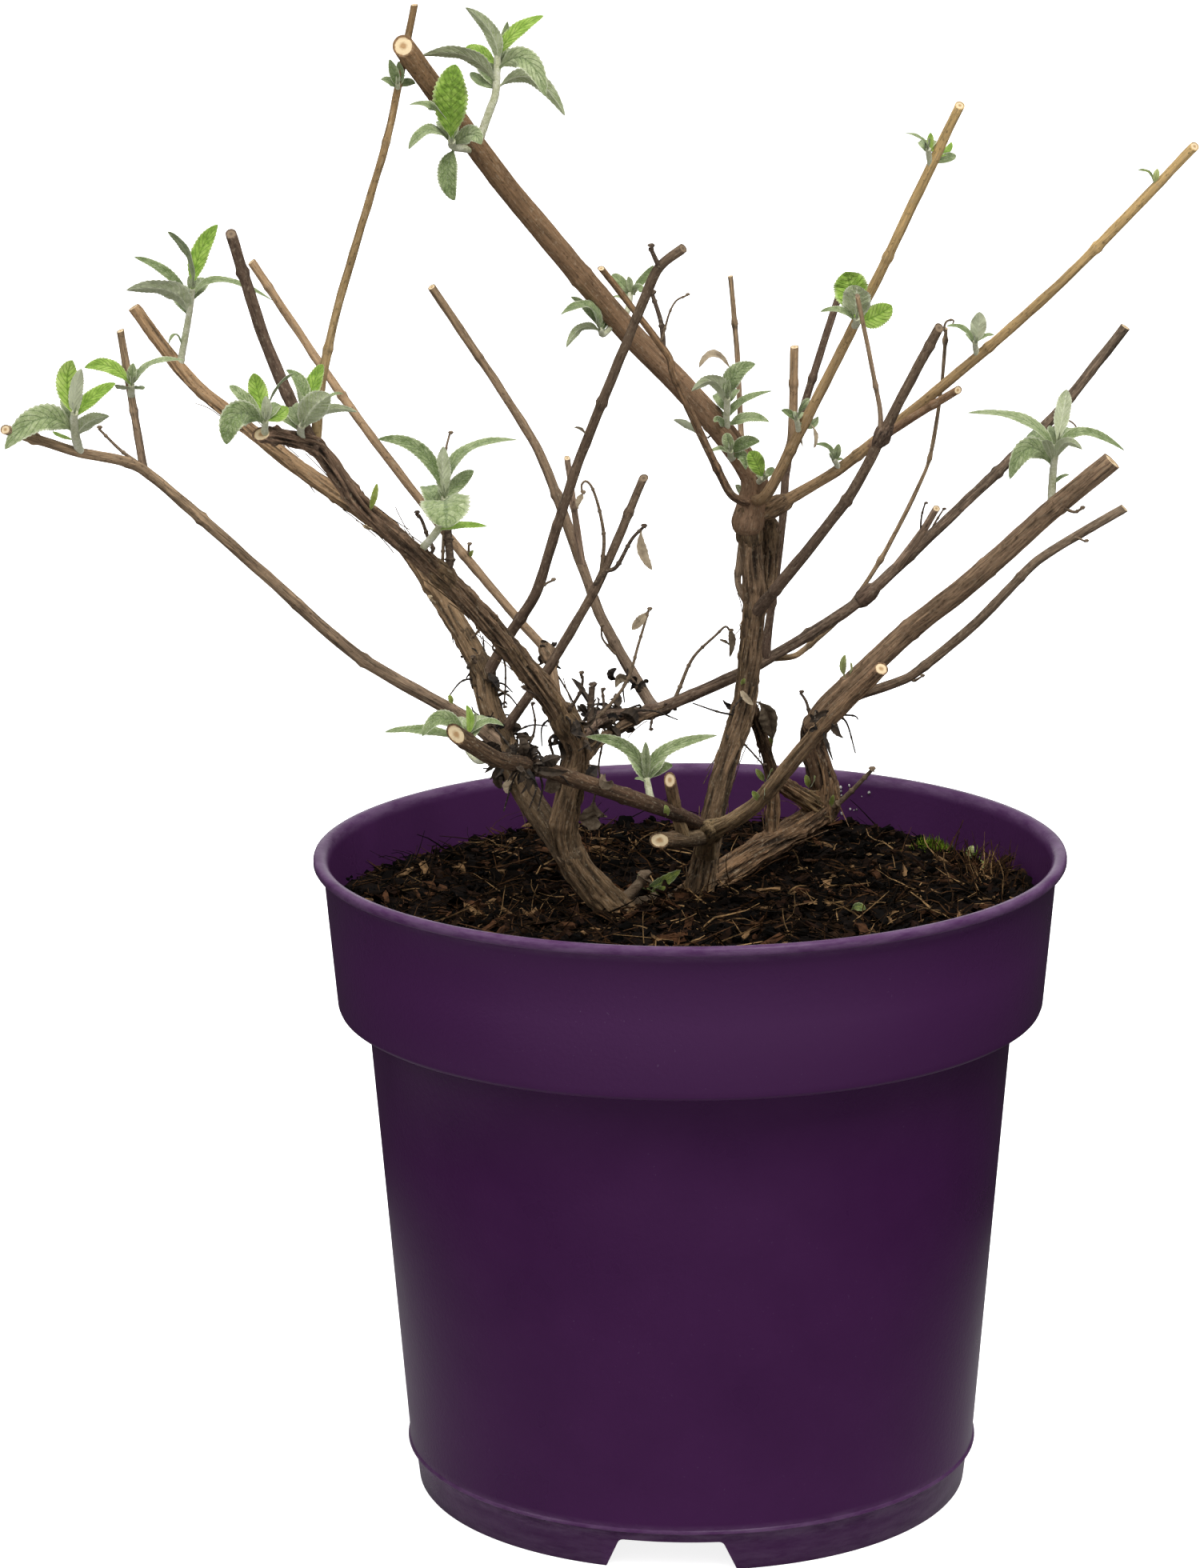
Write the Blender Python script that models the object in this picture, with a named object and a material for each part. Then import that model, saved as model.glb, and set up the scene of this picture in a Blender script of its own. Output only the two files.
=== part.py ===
"""A butterfly bush, pruned hard and just coming into leaf, in a round nursery pot.

Every stem, bough and shoot is a solid of its own. A limb leaves its parent at a share of the
parent's length, runs through a few bends to its cut tip and tapers on the way. A leaf shoot is a
short woolly stem with pairs of leaves, each pair turned a quarter from the one below.

Sizes below are in millimetres, from the foot of the pot's axis: +X right, +Y back, +Z up.
"""

import math
import random

import bmesh
import bpy
from mathutils import Vector
from mathutils.bvhtree import BVHTree

MM = 0.001
GAP = 0.3  # left between solids that would touch
SEED = 7
POT_AXIS_X = 25.0  # the crown reaches further left, so the pot stands this far right of the middle

# The pot
RIM_RADIUS = 115.0
POT_HEIGHT = 200.8
LIP_HEIGHT = 3.0
COLLAR_TOP_RADIUS = 112.0
COLLAR_FOOT_RADIUS = 108.2
COLLAR_FOOT = 153.2
WALL_TOP_RADIUS = 99.2
WALL_FOOT_RADIUS = 88.0
FOOT_TOP = 12.9
FOOT_RADIUS = 85.4
WALL = 1.8
FLOOR_UNDERSIDE = 11.0
POT_SIDES = 48
NOTCHES = 3
NOTCH_TOP, NOTCH_FOOT, NOTCH_HEIGHT = 31.0, 41.0, 9.5
NOTCH_OFF_FRONT = -2.5  # degrees that the front notch sits left of the pot's front
DRAINS, DRAIN_RADIUS, DRAIN_CIRCLE = 4, 6.0, 48.0

# The soil
SOIL_TOP = 184.5
SOIL_SIDES = 28
SOIL_RINGS = (0.16, 0.36, 0.56, 0.76, 0.92, 1.0)
SOIL_BUMPS = 1.6

# Limbs
RING_STEP = 13.0  # between a limb's rings
THICK = 5.0  # a limb of at least this diameter has more sides
SIDES_THICK, SIDES_THIN = 8, 6
FLARE_REACH = 9.0  # how far up a limb its foot's swelling fades
TAPER = 1.3  # above 1, a limb thins faster near its foot than near its tip

# name: parent, share of it where the limb starts, foot and tip diameter, swelling at the foot,
# then the bends and the tip. A limb with no parent starts in the soil, at its first point.
LIMBS = {
    "left_stem": (None, 0, 9.6, 4.4, 0.35, [
        (-18, -10, 179), (-34, -10, 197), (-38, -11, 210), (-34, -16, 236), (-41, -22, 252),
        (-56, -32, 274), (-70, -42, 292), (-94, -60, 318), (-107, -67, 337), (-121, -92, 345)]),
    "left_back_bough": ("left_stem", 0.125, 8.6, 3.8, 0.1, [
        (-51, 4, 219), (-61, 10, 243), (-65, 18, 256), (-88, 40, 288), (-124, 66, 309),
        (-157, 88, 331), (-177, 97, 355)]),
    "left_dark_shoot": ("left_stem", 0.875, 3.8, 3.2, 0.2, [
        (-113, -66, 348), (-121, -66, 368), (-129, -76, 400)]),
    "left_tall_shoot": ("left_stem", 0.87, 2.8, 2.1, 0.2, [
        (-105, -62, 356), (-100, -48, 378), (-88, -36, 417), (-85, -28, 430), (-79, -20, 459)]),
    "left_low_bough": ("left_back_bough", 0.165, 4.4, 2.9, 0.2, [
        (-66, 2, 240), (-100, -12, 264), (-130, -28, 296), (-160, -40, 326), (-177, -52, 333),
        (-197, -64, 342)]),
    "left_low_shoot": ("left_low_bough", 0.755, 2.3, 2.3, 0.2, [
        (-160, -37, 327), (-166, -32, 366)]),
    "left_thin_bough": ("left_stem", 0.275, 2.9, 2.8, 0.1, [
        (-40, 4, 246), (-43, 20, 257), (-52, 32, 265), (-72, 50, 285), (-99, 66, 317),
        (-118, 92, 338), (-140, 108, 368)]),
    "middle_dark_bough": ("left_back_bough", 0.26, 3.3, 2.9, 0.2, [
        (-54, 8, 267), (-46, 0, 281), (-39, -8, 304), (-32, -14, 325), (-18, -28, 361),
        (-9, -36, 383), (-1, -38, 390)]),
    "middle_dark_shoot": ("left_back_bough", 0.185, 3.2, 2.7, 0.1, [
        (-42, -4, 259), (-27, -10, 286), (-13, -14, 319)]),
    "back_bough": ("left_stem", 0.29, 4.0, 3.3, 0.2, [
        (-26, 10, 240), (-10, 28, 238), (22, 40, 250), (53, 52, 267), (90, 66, 299),
        (116, 78, 322), (138, 84, 349)]),
    "back_brace": ("left_stem", 0.25, 3.4, 3.0, 0.1, [(-25, 8, 235), (-9, 27, 237)]),
    "back_shoot": ("back_bough", 0.209, 3.8, 2.7, 0.2, [
        (-13, 44, 238), (-28, 62, 261), (-48, 82, 311), (-82, 98, 361)]),
    "back_shoot_stub": ("back_shoot", 0.39, 2.1, 1.9, 0.2, [(-38, 60, 312)]),
    "back_bough_stub": ("back_bough", 0.57, 2.6, 2.3, 0.2, [(73, 50, 290), (77, 46, 298)]),
    "back_thin_shoot": ("back_bough", 0.37, 1.9, 1.1, 0.2, [
        (34, 53, 250), (49, 60, 262), (62, 64, 281), (75, 66, 308), (79, 64, 333), (80, 60, 352)]),
    "centre_stem": (None, 0, 7.6, 6.4, 0.45, [
        (1, 2, 178), (9, 8, 217), (17, 14, 244), (20, 14, 277), (18, 12, 300)]),
    "centre_twin": ("centre_stem", 0.745, 5.7, 5.2, 0.0, [(24, 20, 282), (25, 18, 300)]),
    "centre_dark_shoot": ("back_bough", 0.368, 2.8, 2.3, 0.2, [
        (24, 40, 256), (29, 40, 295), (31, 42, 315), (47, 48, 366)]),
    "centre_thin_shoot": ("centre_stem", 0.77, 2.0, 1.6, 0.2, [
        (15, 24, 279), (17, 34, 301), (15, 46, 347), (13, 50, 370)]),
    "top_bough": ("centre_stem", 1.0, 7.8, 6.4, 0.3, [
        (20, 13, 313), (10, 13, 328), (-3, 11, 343), (-19, 8, 360), (-54, -8, 405),
        (-83, -30, 449)]),
    "top_bough_shoot": ("top_bough", 0.03, 2.6, 2.0, 0.2, [
        (12, -2, 312), (-4, -8, 347), (-6, -8, 354), (-20, -10, 373), (-26, -12, 381)]),
    "right_tall_bough": ("top_bough", 0.035, 3.3, 2.9, 0.25, [
        (25, 0, 313), (54, -10, 373), (79, -28, 430)]),
    "right_tall_stub": ("right_tall_bough", 0.13, 2.7, 2.6, 0.2, [(31, 6, 326), (32, 12, 354)]),
    "right_long_bough": ("top_bough", 0.0, 3.5, 2.8, 0.3, [
        (46, 14, 316), (84, 0, 350), (112, -14, 378), (147, -30, 418)]),
    "right_long_stub": ("right_long_bough", 0.236, 2.5, 2.4, 0.2, [(68, 2, 334), (81, -4, 343)]),
    "right_dark_bough": ("centre_stem", 0.765, 3.7, 2.9, 0.2, [
        (27, 2, 282), (48, -20, 314), (64, -32, 348), (73, -40, 367)]),
    "right_dark_twig": ("right_dark_bough", 0.662, 1.4, 1.3, 0.2, [(56, -30, 342), (49, -38, 376)]),
    "right_stem": (None, 0, 8.8, 8.4, 0.25, [
        (1, 8, 183), (19, 26, 192), (33, 42, 196), (43, 50, 203), (39, 52, 221), (40, 50, 230)]),
    "centre_prop": ("right_stem", 0.41, 4.3, 3.7, 0.1, [
        (26, 36, 207), (25, 34, 220), (18, 15, 246)]),
    "right_thick_bough": ("right_stem", 0.97, 7.2, 6.2, 0.1, [
        (44, 48, 235), (68, 44, 259), (83, 36, 273), (97, 29, 287), (109, 22, 300),
        (127, 10, 318)]),
    "right_low_bough": ("right_stem", 0.945, 3.2, 3.0, 0.2, [
        (52, 58, 235), (70, 66, 240), (91, 72, 256), (110, 76, 275), (124, 80, 283),
        (139, 84, 291)]),
    "right_stem_stub": ("right_stem", 0.66, 6.0, 5.0, 0.1, [(27, 36, 214)]),
    "front_bough": ("centre_stem", 0.16, 5.2, 4.2, 0.25, [
        (6, -9, 208), (13, -18, 214), (21, -26, 222), (38, -46, 248), (56, -64, 271)]),
    "front_stub": ("front_bough", 0.13, 4.9, 4.8, 0.1, [(0, -17, 208), (-10, -34, 212)]),
    "front_left_bough": ("centre_stem", 0.22, 4.6, 5.0, 0.3, [
        (-6, -30, 220), (-44, -54, 239), (-56, -80, 248), (-68, -92, 259)]),
    "front_upright_stub": ("front_stub", 0.45, 3.6, 3.6, 0.1, [(-4, -26, 219), (-6, -36, 232)]),
}
MEETS = {"back_brace": "back_bough", "centre_prop": "centre_stem"}  # limbs that end on another

# Leaf shoots
SHOOT_SIDES = 5
SHOOT_FOOT, SHOOT_TIP = 2.0, 1.3  # diameters of a shoot's woolly stem
LEAF_STATIONS = (0.0, 0.3, 0.68, 1.0)
LEAF_WIDTHS = (0.28, 0.92, 0.80, 0.0)  # of half the leaf's width, at each station
LEAF_THICKNESS = 0.02  # of a leaf's length
LEAF_WIDTH = 0.31  # of a leaf's length
ROUND_LEAF_WIDTH = 0.52
ROUND_LEAVED = ("shoot_right_round", "shoot_centre_low", "shoot_knot")
LIGHT = Vector((0, -0.97, 0.24))
TURN_TO_LIGHT = 0.5  # how far a blade's upper face turns from the stem to the light
FIRST_PAIR, LAST_PAIR = 0.62, 0.95  # shares of a shoot's stem where its lowest and top pairs sit

# name: limb, share of it, the shoot's stem as a step from there, turn of the first pair in
# degrees, then length, opening and droop of each pair, lowest first
SHOOTS = {
    "shoot_top_back": ("top_bough", 0.78, (9, 5, 31), -15, [
        (25, 72, 45), (16, 64, 30), (18, 42, 0), (9, 12, 0)]),
    "shoot_top_front": ("top_bough", 0.775, (-7, -13, 5), 90, [(17, 92, 0), (12, 75, 0), (19, 40, 0)]),
    "shoot_tall_tip": ("left_tall_shoot", 0.81, (-1, -2, 4), 10, [(6, 72, 0), (9, 15, 0)]),
    "shoot_back_left": ("left_back_bough", 0.895, (5, -5, 27), 10, [
        (21, 68, 12), (20, 46, 10), (21, 20, 0)]),
    "shoot_far_left": ("left_low_bough", 0.87, (0, -10, 8), 20, [
        (23, 76, 12), (17, 45, 10), (19, 5, 0)]),
    "shoot_low_left": ("left_low_shoot", 0.55, (0, -4, 5), 0, [(17, 60, 20), (9, 15, 0)]),
    "shoot_left_cut": ("left_stem", 0.985, (-3, -5, 5), 0, [(13, 86, 20), (15, 24, 0)]),
    "shoot_left_fork": ("left_stem", 0.90, (2, -9, 8), 10, [
        (17, 72, 15), (15, 45, 0), (20, 16, 0)]),
    "shoot_left_front": ("left_stem", 0.66, (9, -6, 30), 75, [
        (14, 88, 25), (25, 50, 28), (11, 40, 0), (11, 8, 0)]),
    "shoot_middle_left": ("top_bough", 0.41, (-7, -5, 2), 80, [(13, 40, 0), (15, 25, 0)]),
    "shoot_middle_back": ("top_bough", 0.4, (1, 7, 8), 0, [(13, 45, 0), (14, 20, 0)]),
    "shoot_centre": ("top_bough", 0.14, (0, -8, 17), 20, [
        (13, 84, 12), (14, 74, 12), (12, 52, 0), (9, 15, 0)]),
    "shoot_centre_low": ("top_bough", 0.12, (-1, -9, 2), 10, [(9, 80, 10), (8, 45, 0)]),
    "shoot_knot": ("top_bough", 0.06, (0, -8, 6), 60, [(11, 28, 0)]),
    "shoot_right_round": ("right_tall_bough", 0.485, (0, -6, 6), 0, [(12, 68, 10), (16, 12, 0)]),
    "shoot_right_top": ("right_tall_bough", 0.855, (-1, -4, 4), 10, [(11, 58, 0), (9, 22, 0)]),
    "shoot_right_long": ("right_long_bough", 0.485, (0, -4, 5), 0, [(9, 58, 0), (12, 10, 0)]),
    "shoot_right_low": ("right_tall_bough", 0.235, (1, -4, 3), 0, [(8, 62, 0), (7, 30, 0)]),
    "shoot_right_mid": ("right_long_bough", 0.175, (0, -4, 4), 0, [(8, 55, 0), (7, 18, 0)]),
    "shoot_thick_bough": ("right_thick_bough", 0.805, (0, -4, 24), -80, [
        (14, 92, 12), (26, 56, 32), (12, 42, 0), (17, 8, 0)]),
    "shoot_front_left": ("front_left_bough", 0.87, (-6, 8, 8), 0, [(24, 65, 0), (12, 25, 0)]),
    "shoot_front": ("front_left_bough", 0.345, (-1, 3, 10), 105, [
        (9, 70, 0), (25, 52, 25), (12, 8, 0)]),
}

# Colours: linear red, green, blue, then roughness
PURPLE = (0.040, 0.014, 0.046), 0.38
PEAT = (0.030, 0.018, 0.012), 0.95
OLD_BARK = (0.105, 0.068, 0.045), 0.9
DARK_BARK = (0.060, 0.040, 0.030), 0.85
TAN_BARK = (0.230, 0.140, 0.070), 0.75
FELTED_LEAF = (0.210, 0.300, 0.150), 0.8
TAN_LIMBS = ("left_tall_shoot", "left_thin_bough", "left_back_bough", "back_shoot", "top_bough",
             "right_tall_bough", "right_tall_stub", "right_long_bough", "right_long_stub")


def soil_height(x, y):
    """Height of the soil's uneven top at a place."""
    bumps = math.sin(x / 17 + 1.1) * math.cos(y / 21 - 0.4) + 0.6 * math.sin((x - 2 * y) / 29)
    return SOIL_TOP + SOIL_BUMPS * bumps


def wall_radius(z):
    """Outer radius of the pot's wall below its collar."""
    share = (z - FOOT_TOP) / (COLLAR_FOOT - FOOT_TOP)
    return WALL_FOOT_RADIUS + share * (WALL_TOP_RADIUS - WALL_FOOT_RADIUS)


def collar_radius(z):
    """Outer radius of the pot's collar."""
    share = (z - COLLAR_FOOT) / (POT_HEIGHT - LIP_HEIGHT - COLLAR_FOOT)
    return COLLAR_FOOT_RADIUS + share * (COLLAR_TOP_RADIUS - COLLAR_FOOT_RADIUS)


# Making objects

def clear_scene():
    for ob in list(bpy.data.objects):
        bpy.data.objects.remove(ob)


def material(name, look):
    colour, roughness = look
    made = bpy.data.materials.new(name)
    made.use_nodes = True
    shader = made.node_tree.nodes["Principled BSDF"]
    shader.inputs["Base Color"].default_value = (*colour, 1)
    shader.inputs["Roughness"].default_value = roughness
    shader.inputs["Metallic"].default_value = 0
    return made


def add_object(name, points, faces, parent):
    """An object whose mesh has these points, given in millimetres."""
    mesh = bpy.data.meshes.new(name)
    mesh.from_pydata([Vector(p) * MM for p in points], [], faces)
    ob = bpy.data.objects.new(name, mesh)
    ob.parent = parent
    bpy.context.scene.collection.objects.link(ob)
    return ob


def finish(ob, look):
    """Give an object its own material and smooth faces with sharp edges."""
    ob.data.materials.clear()
    ob.data.materials.append(material(ob.name, look))
    ob.data.shade_smooth()
    ob.data.set_sharp_from_angle(angle=math.radians(50))


def apply_boolean(ob, operation, tool=None, collection=None):
    mod = ob.modifiers.new(operation.lower(), "BOOLEAN")
    mod.operation = operation
    mod.solver = "EXACT"
    if collection:
        mod.operand_type = "COLLECTION"
        mod.collection = collection
    else:
        mod.object = tool
    with bpy.context.temp_override(object=ob, active_object=ob, selected_objects=[ob]):
        bpy.ops.object.modifier_apply(modifier=mod.name)


def keep_largest_body(ob):
    """Drop the loose scraps that a cut leaves."""
    bm = bmesh.new()
    bm.from_mesh(ob.data)
    left = set(bm.verts)
    bodies = []
    while left:
        stack = [left.pop()]
        body = set(stack)
        while stack:
            for edge in stack.pop().link_edges:
                for vert in edge.verts:
                    if vert in left:
                        left.discard(vert)
                        body.add(vert)
                        stack.append(vert)
        bodies.append(body)
    bodies.sort(key=len)
    scraps = [vert for body in bodies[:-1] for vert in body]
    if scraps:
        bmesh.ops.delete(bm, geom=scraps, context="VERTS")
    bm.to_mesh(ob.data)
    bm.free()


def turned(name, profile, sides, parent):
    """A closed body of revolution; the profile runs down its outer side and ends on the axis."""
    points, faces = [], []
    rings = []
    for radius, z in profile:
        if radius == 0:
            rings.append([len(points)])
            points.append((0, 0, z))
        else:
            rings.append([len(points) + k for k in range(sides)])
            for k in range(sides):
                angle = 2 * math.pi * k / sides
                points.append((radius * math.cos(angle), radius * math.sin(angle), z))
    for upper, lower in zip(rings, rings[1:]):
        for k in range(sides):
            after = (k + 1) % sides
            if len(upper) == 1:
                faces.append((upper[0], lower[k], lower[after]))
            elif len(lower) == 1:
                faces.append((upper[k], lower[0], upper[after]))
            else:
                faces.append((upper[k], lower[k], lower[after], upper[after]))
    return add_object(name, points, faces, parent)


# Pot and soil

def make_pot(parent):
    lip = POT_HEIGHT - LIP_HEIGHT
    profile = [
        (0, FOOT_TOP + 0.4),
        (WALL_FOOT_RADIUS - WALL - 1.0, FOOT_TOP + 0.4),
        (wall_radius(FOOT_TOP + 3) - WALL, FOOT_TOP + 3),
        (WALL_TOP_RADIUS - WALL, COLLAR_FOOT - 2),
        (COLLAR_FOOT_RADIUS - WALL, COLLAR_FOOT + 2),
        (COLLAR_TOP_RADIUS - WALL, lip),
        (COLLAR_TOP_RADIUS - 0.4, POT_HEIGHT - 0.6),
        (COLLAR_TOP_RADIUS + 0.8, POT_HEIGHT),
        (RIM_RADIUS - 0.7, POT_HEIGHT),
        (RIM_RADIUS, POT_HEIGHT - 0.9),
        (RIM_RADIUS, lip + 0.6),
        (RIM_RADIUS - 0.9, lip),
        (COLLAR_TOP_RADIUS, lip - 0.4),
        (COLLAR_FOOT_RADIUS, COLLAR_FOOT + 1),
        (COLLAR_FOOT_RADIUS - 1, COLLAR_FOOT),
        (WALL_TOP_RADIUS, COLLAR_FOOT),
        (WALL_FOOT_RADIUS + 0.1, FOOT_TOP + 1),
        (WALL_FOOT_RADIUS + 0.8, FOOT_TOP),
        (WALL_FOOT_RADIUS - 1.1, FOOT_TOP - 0.5),
        (FOOT_RADIUS, 0),
        (FOOT_RADIUS - WALL, 0),
        (FOOT_RADIUS - WALL + 1, FLOOR_UNDERSIDE),
        (0, FLOOR_UNDERSIDE),
    ]
    pot = turned("pot", profile[::-1], POT_SIDES, parent)
    for k in range(NOTCHES):
        angle = math.radians(-90 + NOTCH_OFF_FRONT + 360 / NOTCHES * k)
        out = Vector((math.cos(angle), math.sin(angle), 0))
        along = Vector((-math.sin(angle), math.cos(angle), 0))
        points = []
        for reach in (FOOT_RADIUS - 12, FOOT_RADIUS + 8):
            for half, z in ((NOTCH_FOOT / 2 + 0.5, -1), (NOTCH_TOP / 2, NOTCH_HEIGHT)):
                points += [out * reach - along * half + Vector((0, 0, z)),
                           out * reach + along * half + Vector((0, 0, z))]
        faces = [(0, 2, 3, 1), (4, 5, 7, 6), (0, 1, 5, 4), (2, 6, 7, 3), (0, 4, 6, 2), (1, 3, 7, 5)]
        cut_away(pot, add_object("notch_cutter", points, faces, parent))
    for k in range(DRAINS):
        angle = 2 * math.pi * (k + 0.5) / DRAINS
        profile = [(0, FOOT_TOP + 5), (DRAIN_RADIUS, FOOT_TOP + 5),
                   (DRAIN_RADIUS, FLOOR_UNDERSIDE - 5), (0, FLOOR_UNDERSIDE - 5)]
        drain = turned("drain_cutter", profile, 12, parent)
        step = Vector((math.cos(angle), math.sin(angle), 0)) * DRAIN_CIRCLE * MM
        for vert in drain.data.vertices:
            vert.co += step
        cut_away(pot, drain)
    finish(pot, PURPLE)
    return pot


def cut_away(ob, cutter):
    cutter.hide_render = True
    cutter.display_type = "WIRE"
    recalculate(cutter)
    apply_boolean(ob, "DIFFERENCE", cutter)
    bpy.data.objects.remove(cutter)


def recalculate(ob):
    """Turn all of a closed body's faces outwards."""
    bm = bmesh.new()
    bm.from_mesh(ob.data)
    bmesh.ops.recalc_face_normals(bm, faces=bm.faces)
    bm.to_mesh(ob.data)
    bm.free()


def make_soil(parent, name="soil", raised=0.0):
    """The soil that fills the pot, clear of its wall by the gap."""
    clear = WALL + GAP
    sides = [
        (wall_radius(FOOT_TOP + 3) - clear - 0.4, FOOT_TOP + 3),
        (WALL_FOOT_RADIUS - clear - 1.6, FOOT_TOP + 0.4 + GAP),
    ]
    outer = collar_radius(SOIL_TOP - 4) - clear - 0.4
    profile = [(outer, SOIL_TOP)]
    profile += [(COLLAR_FOOT_RADIUS - clear - 0.4, COLLAR_FOOT + 2.5)]
    profile += [(WALL_TOP_RADIUS - clear - 0.6, COLLAR_FOOT - 1.5)]
    profile += sides + [(0, FOOT_TOP + 0.4 + GAP)]
    top = [(0, SOIL_TOP)] + [(outer * share, SOIL_TOP) for share in SOIL_RINGS[:-1]]
    soil = turned(name, top + profile, SOIL_SIDES, parent)
    count = 1 + (len(SOIL_RINGS)) * SOIL_SIDES
    for vert in soil.data.vertices[:count]:
        x, y = vert.co.x / MM, vert.co.y / MM
        vert.co.z = (soil_height(x, y) + raised) * MM
    recalculate(soil)
    return soil


# Limbs

def smooth_route(points, step):
    """Points about a step apart along a smooth curve through the given ones."""
    given = [Vector(p) for p in points]
    ends = [2 * given[0] - given[1]] + given + [2 * given[-1] - given[-2]]
    fine = []
    for a, b, c, d in zip(ends, ends[1:], ends[2:], ends[3:]):
        for k in range(12):
            t = k / 12
            fine.append(0.5 * (2 * b + (c - a) * t + (2 * a - 5 * b + 4 * c - d) * t * t
                               + (3 * b - a - 3 * c + d) * t ** 3))
    fine.append(given[-1])
    length = sum((q - p).length for p, q in zip(fine, fine[1:]))
    rings = max(3, round(length / step) + 1)
    return [point_at(fine, k / (rings - 1)) for k in range(rings)]


def point_at(route, share):
    """The point at a share of a route's length."""
    steps = [(q - p).length for p, q in zip(route, route[1:])]
    left = share * sum(steps)
    for p, q, length in zip(route, route[1:], steps):
        if left <= length:
            return p.lerp(q, left / length if length else 0)
        left -= length
    return route[-1].copy()


def tube(name, route, radii, sides, parent, grow=0.0):
    """A closed tube round a route; grow widens it and carries its ends on."""
    first = (route[1] - route[0]).normalized()
    last = (route[-1] - route[-2]).normalized()
    spine = [route[0] - first * grow] + route[1:-1] + [route[-1] + last * grow]
    side = first.orthogonal().normalized()
    points, faces = [], []
    for k, centre in enumerate(spine):
        before, after = spine[max(k - 1, 0)], spine[min(k + 1, len(spine) - 1)]
        along = (after - before).normalized()
        side = (side - along * side.dot(along)).normalized()
        across = along.cross(side)
        for j in range(sides):
            angle = 2 * math.pi * j / sides
            out = side * math.cos(angle) + across * math.sin(angle)
            points.append(centre + out * (radii[k] + grow))
    for k in range(len(spine) - 1):
        for j in range(sides):
            after = (j + 1) % sides
            faces.append((k * sides + j, k * sides + after,
                          (k + 1) * sides + after, (k + 1) * sides + j))
    faces.append(tuple(range(sides))[::-1])
    faces.append(tuple(range(len(points) - sides, len(points))))
    return add_object(name, points, faces, parent)


def limb_radii(route, foot, tip, flare):
    length = sum((q - p).length for p, q in zip(route, route[1:]))
    radii, gone = [], 0.0
    for k, point in enumerate(route):
        if k:
            gone += (point - route[k - 1]).length
        swelling = 1 + flare * math.exp(-gone / FLARE_REACH)
        radii.append((tip + (foot - tip) * max(0, 1 - gone / length) ** TAPER) / 2 * swelling)
    return radii


def tree_of(ob):
    bm = bmesh.new()
    bm.from_mesh(ob.data)
    tree = BVHTree.FromBMesh(bm)
    bm.free()
    return tree


def make_limbs(parent, raised_soil):
    """All limbs, each cut clear of the soil and of the limbs before it; also their routes."""
    routes, looks, grown = {}, {}, {}
    for name, (carrier, share, foot, tip, flare, bends) in LIMBS.items():
        points = list(bends)
        if carrier:
            points.insert(0, point_at(routes[carrier], share))
        if name in MEETS:
            points[-1] = nearest_on(routes[MEETS[name]], Vector(bends[-1]))
        route = smooth_route(points, RING_STEP)
        radii = limb_radii(route, foot, tip, flare)
        sides = SIDES_THICK if foot >= THICK else SIDES_THIN
        ob = tube(name, route, radii, sides, parent)
        tree = tree_of(ob)
        if not carrier:
            apply_boolean(ob, "DIFFERENCE", raised_soil)
        for cutter in grown.values():
            if tree.overlap(tree_of(cutter)):
                apply_boolean(ob, "DIFFERENCE", cutter)
        keep_largest_body(ob)
        finish(ob, limb_look(name))
        routes[name] = route
        grown[name] = tube(name + "_cutter", route, radii, sides, parent, GAP)
        grown[name].hide_render = True
        grown[name].display_type = "WIRE"
    return routes, grown


def limb_look(name):
    if name in TAN_LIMBS:
        return TAN_BARK
    return DARK_BARK if "dark" in name else OLD_BARK


def nearest_on(route, point):
    return min((point_at(route, k / 100) for k in range(101)), key=lambda p: (p - point).length)


# Leaf shoots

def leaf(name, root, axis, side, length, width, opening, droop, parent):
    """A thin blade that leaves the stem's axis at its opening and bends away by its droop."""
    level = axis.cross(side).normalized()
    thick = length * LEAF_THICKNESS / 2
    points, faces = [], []
    centre, gone = root.copy(), 0.0
    for station, wide in zip(LEAF_STATIONS, LEAF_WIDTHS):
        angle = math.radians(opening + droop * (gone + station) / 2)
        along = axis * math.cos(angle) + side * math.sin(angle)
        centre += along * length * (station - gone)
        gone = station
        lit = LIGHT - along * LIGHT.dot(along)
        up = along.cross(level).normalized().lerp(lit, TURN_TO_LIGHT).normalized()
        half = up.cross(along).normalized() * width * length / 2 * wide
        if wide:
            points += [centre - half, centre - up * thick, centre + half, centre + up * thick]
        else:
            points.append(centre.copy())
    rows = len(LEAF_STATIONS) - 2
    for k in range(rows):
        for j in range(4):
            after = (j + 1) % 4
            faces.append((4 * k + j, 4 * k + after, 4 * k + 4 + after, 4 * k + 4 + j))
    faces += [(4 * rows + j, 4 * rows + (j + 1) % 4, len(points) - 1) for j in range(4)]
    faces.append((3, 2, 1, 0))
    ob = add_object(name, points, faces, parent)
    recalculate(ob)
    return ob


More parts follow.
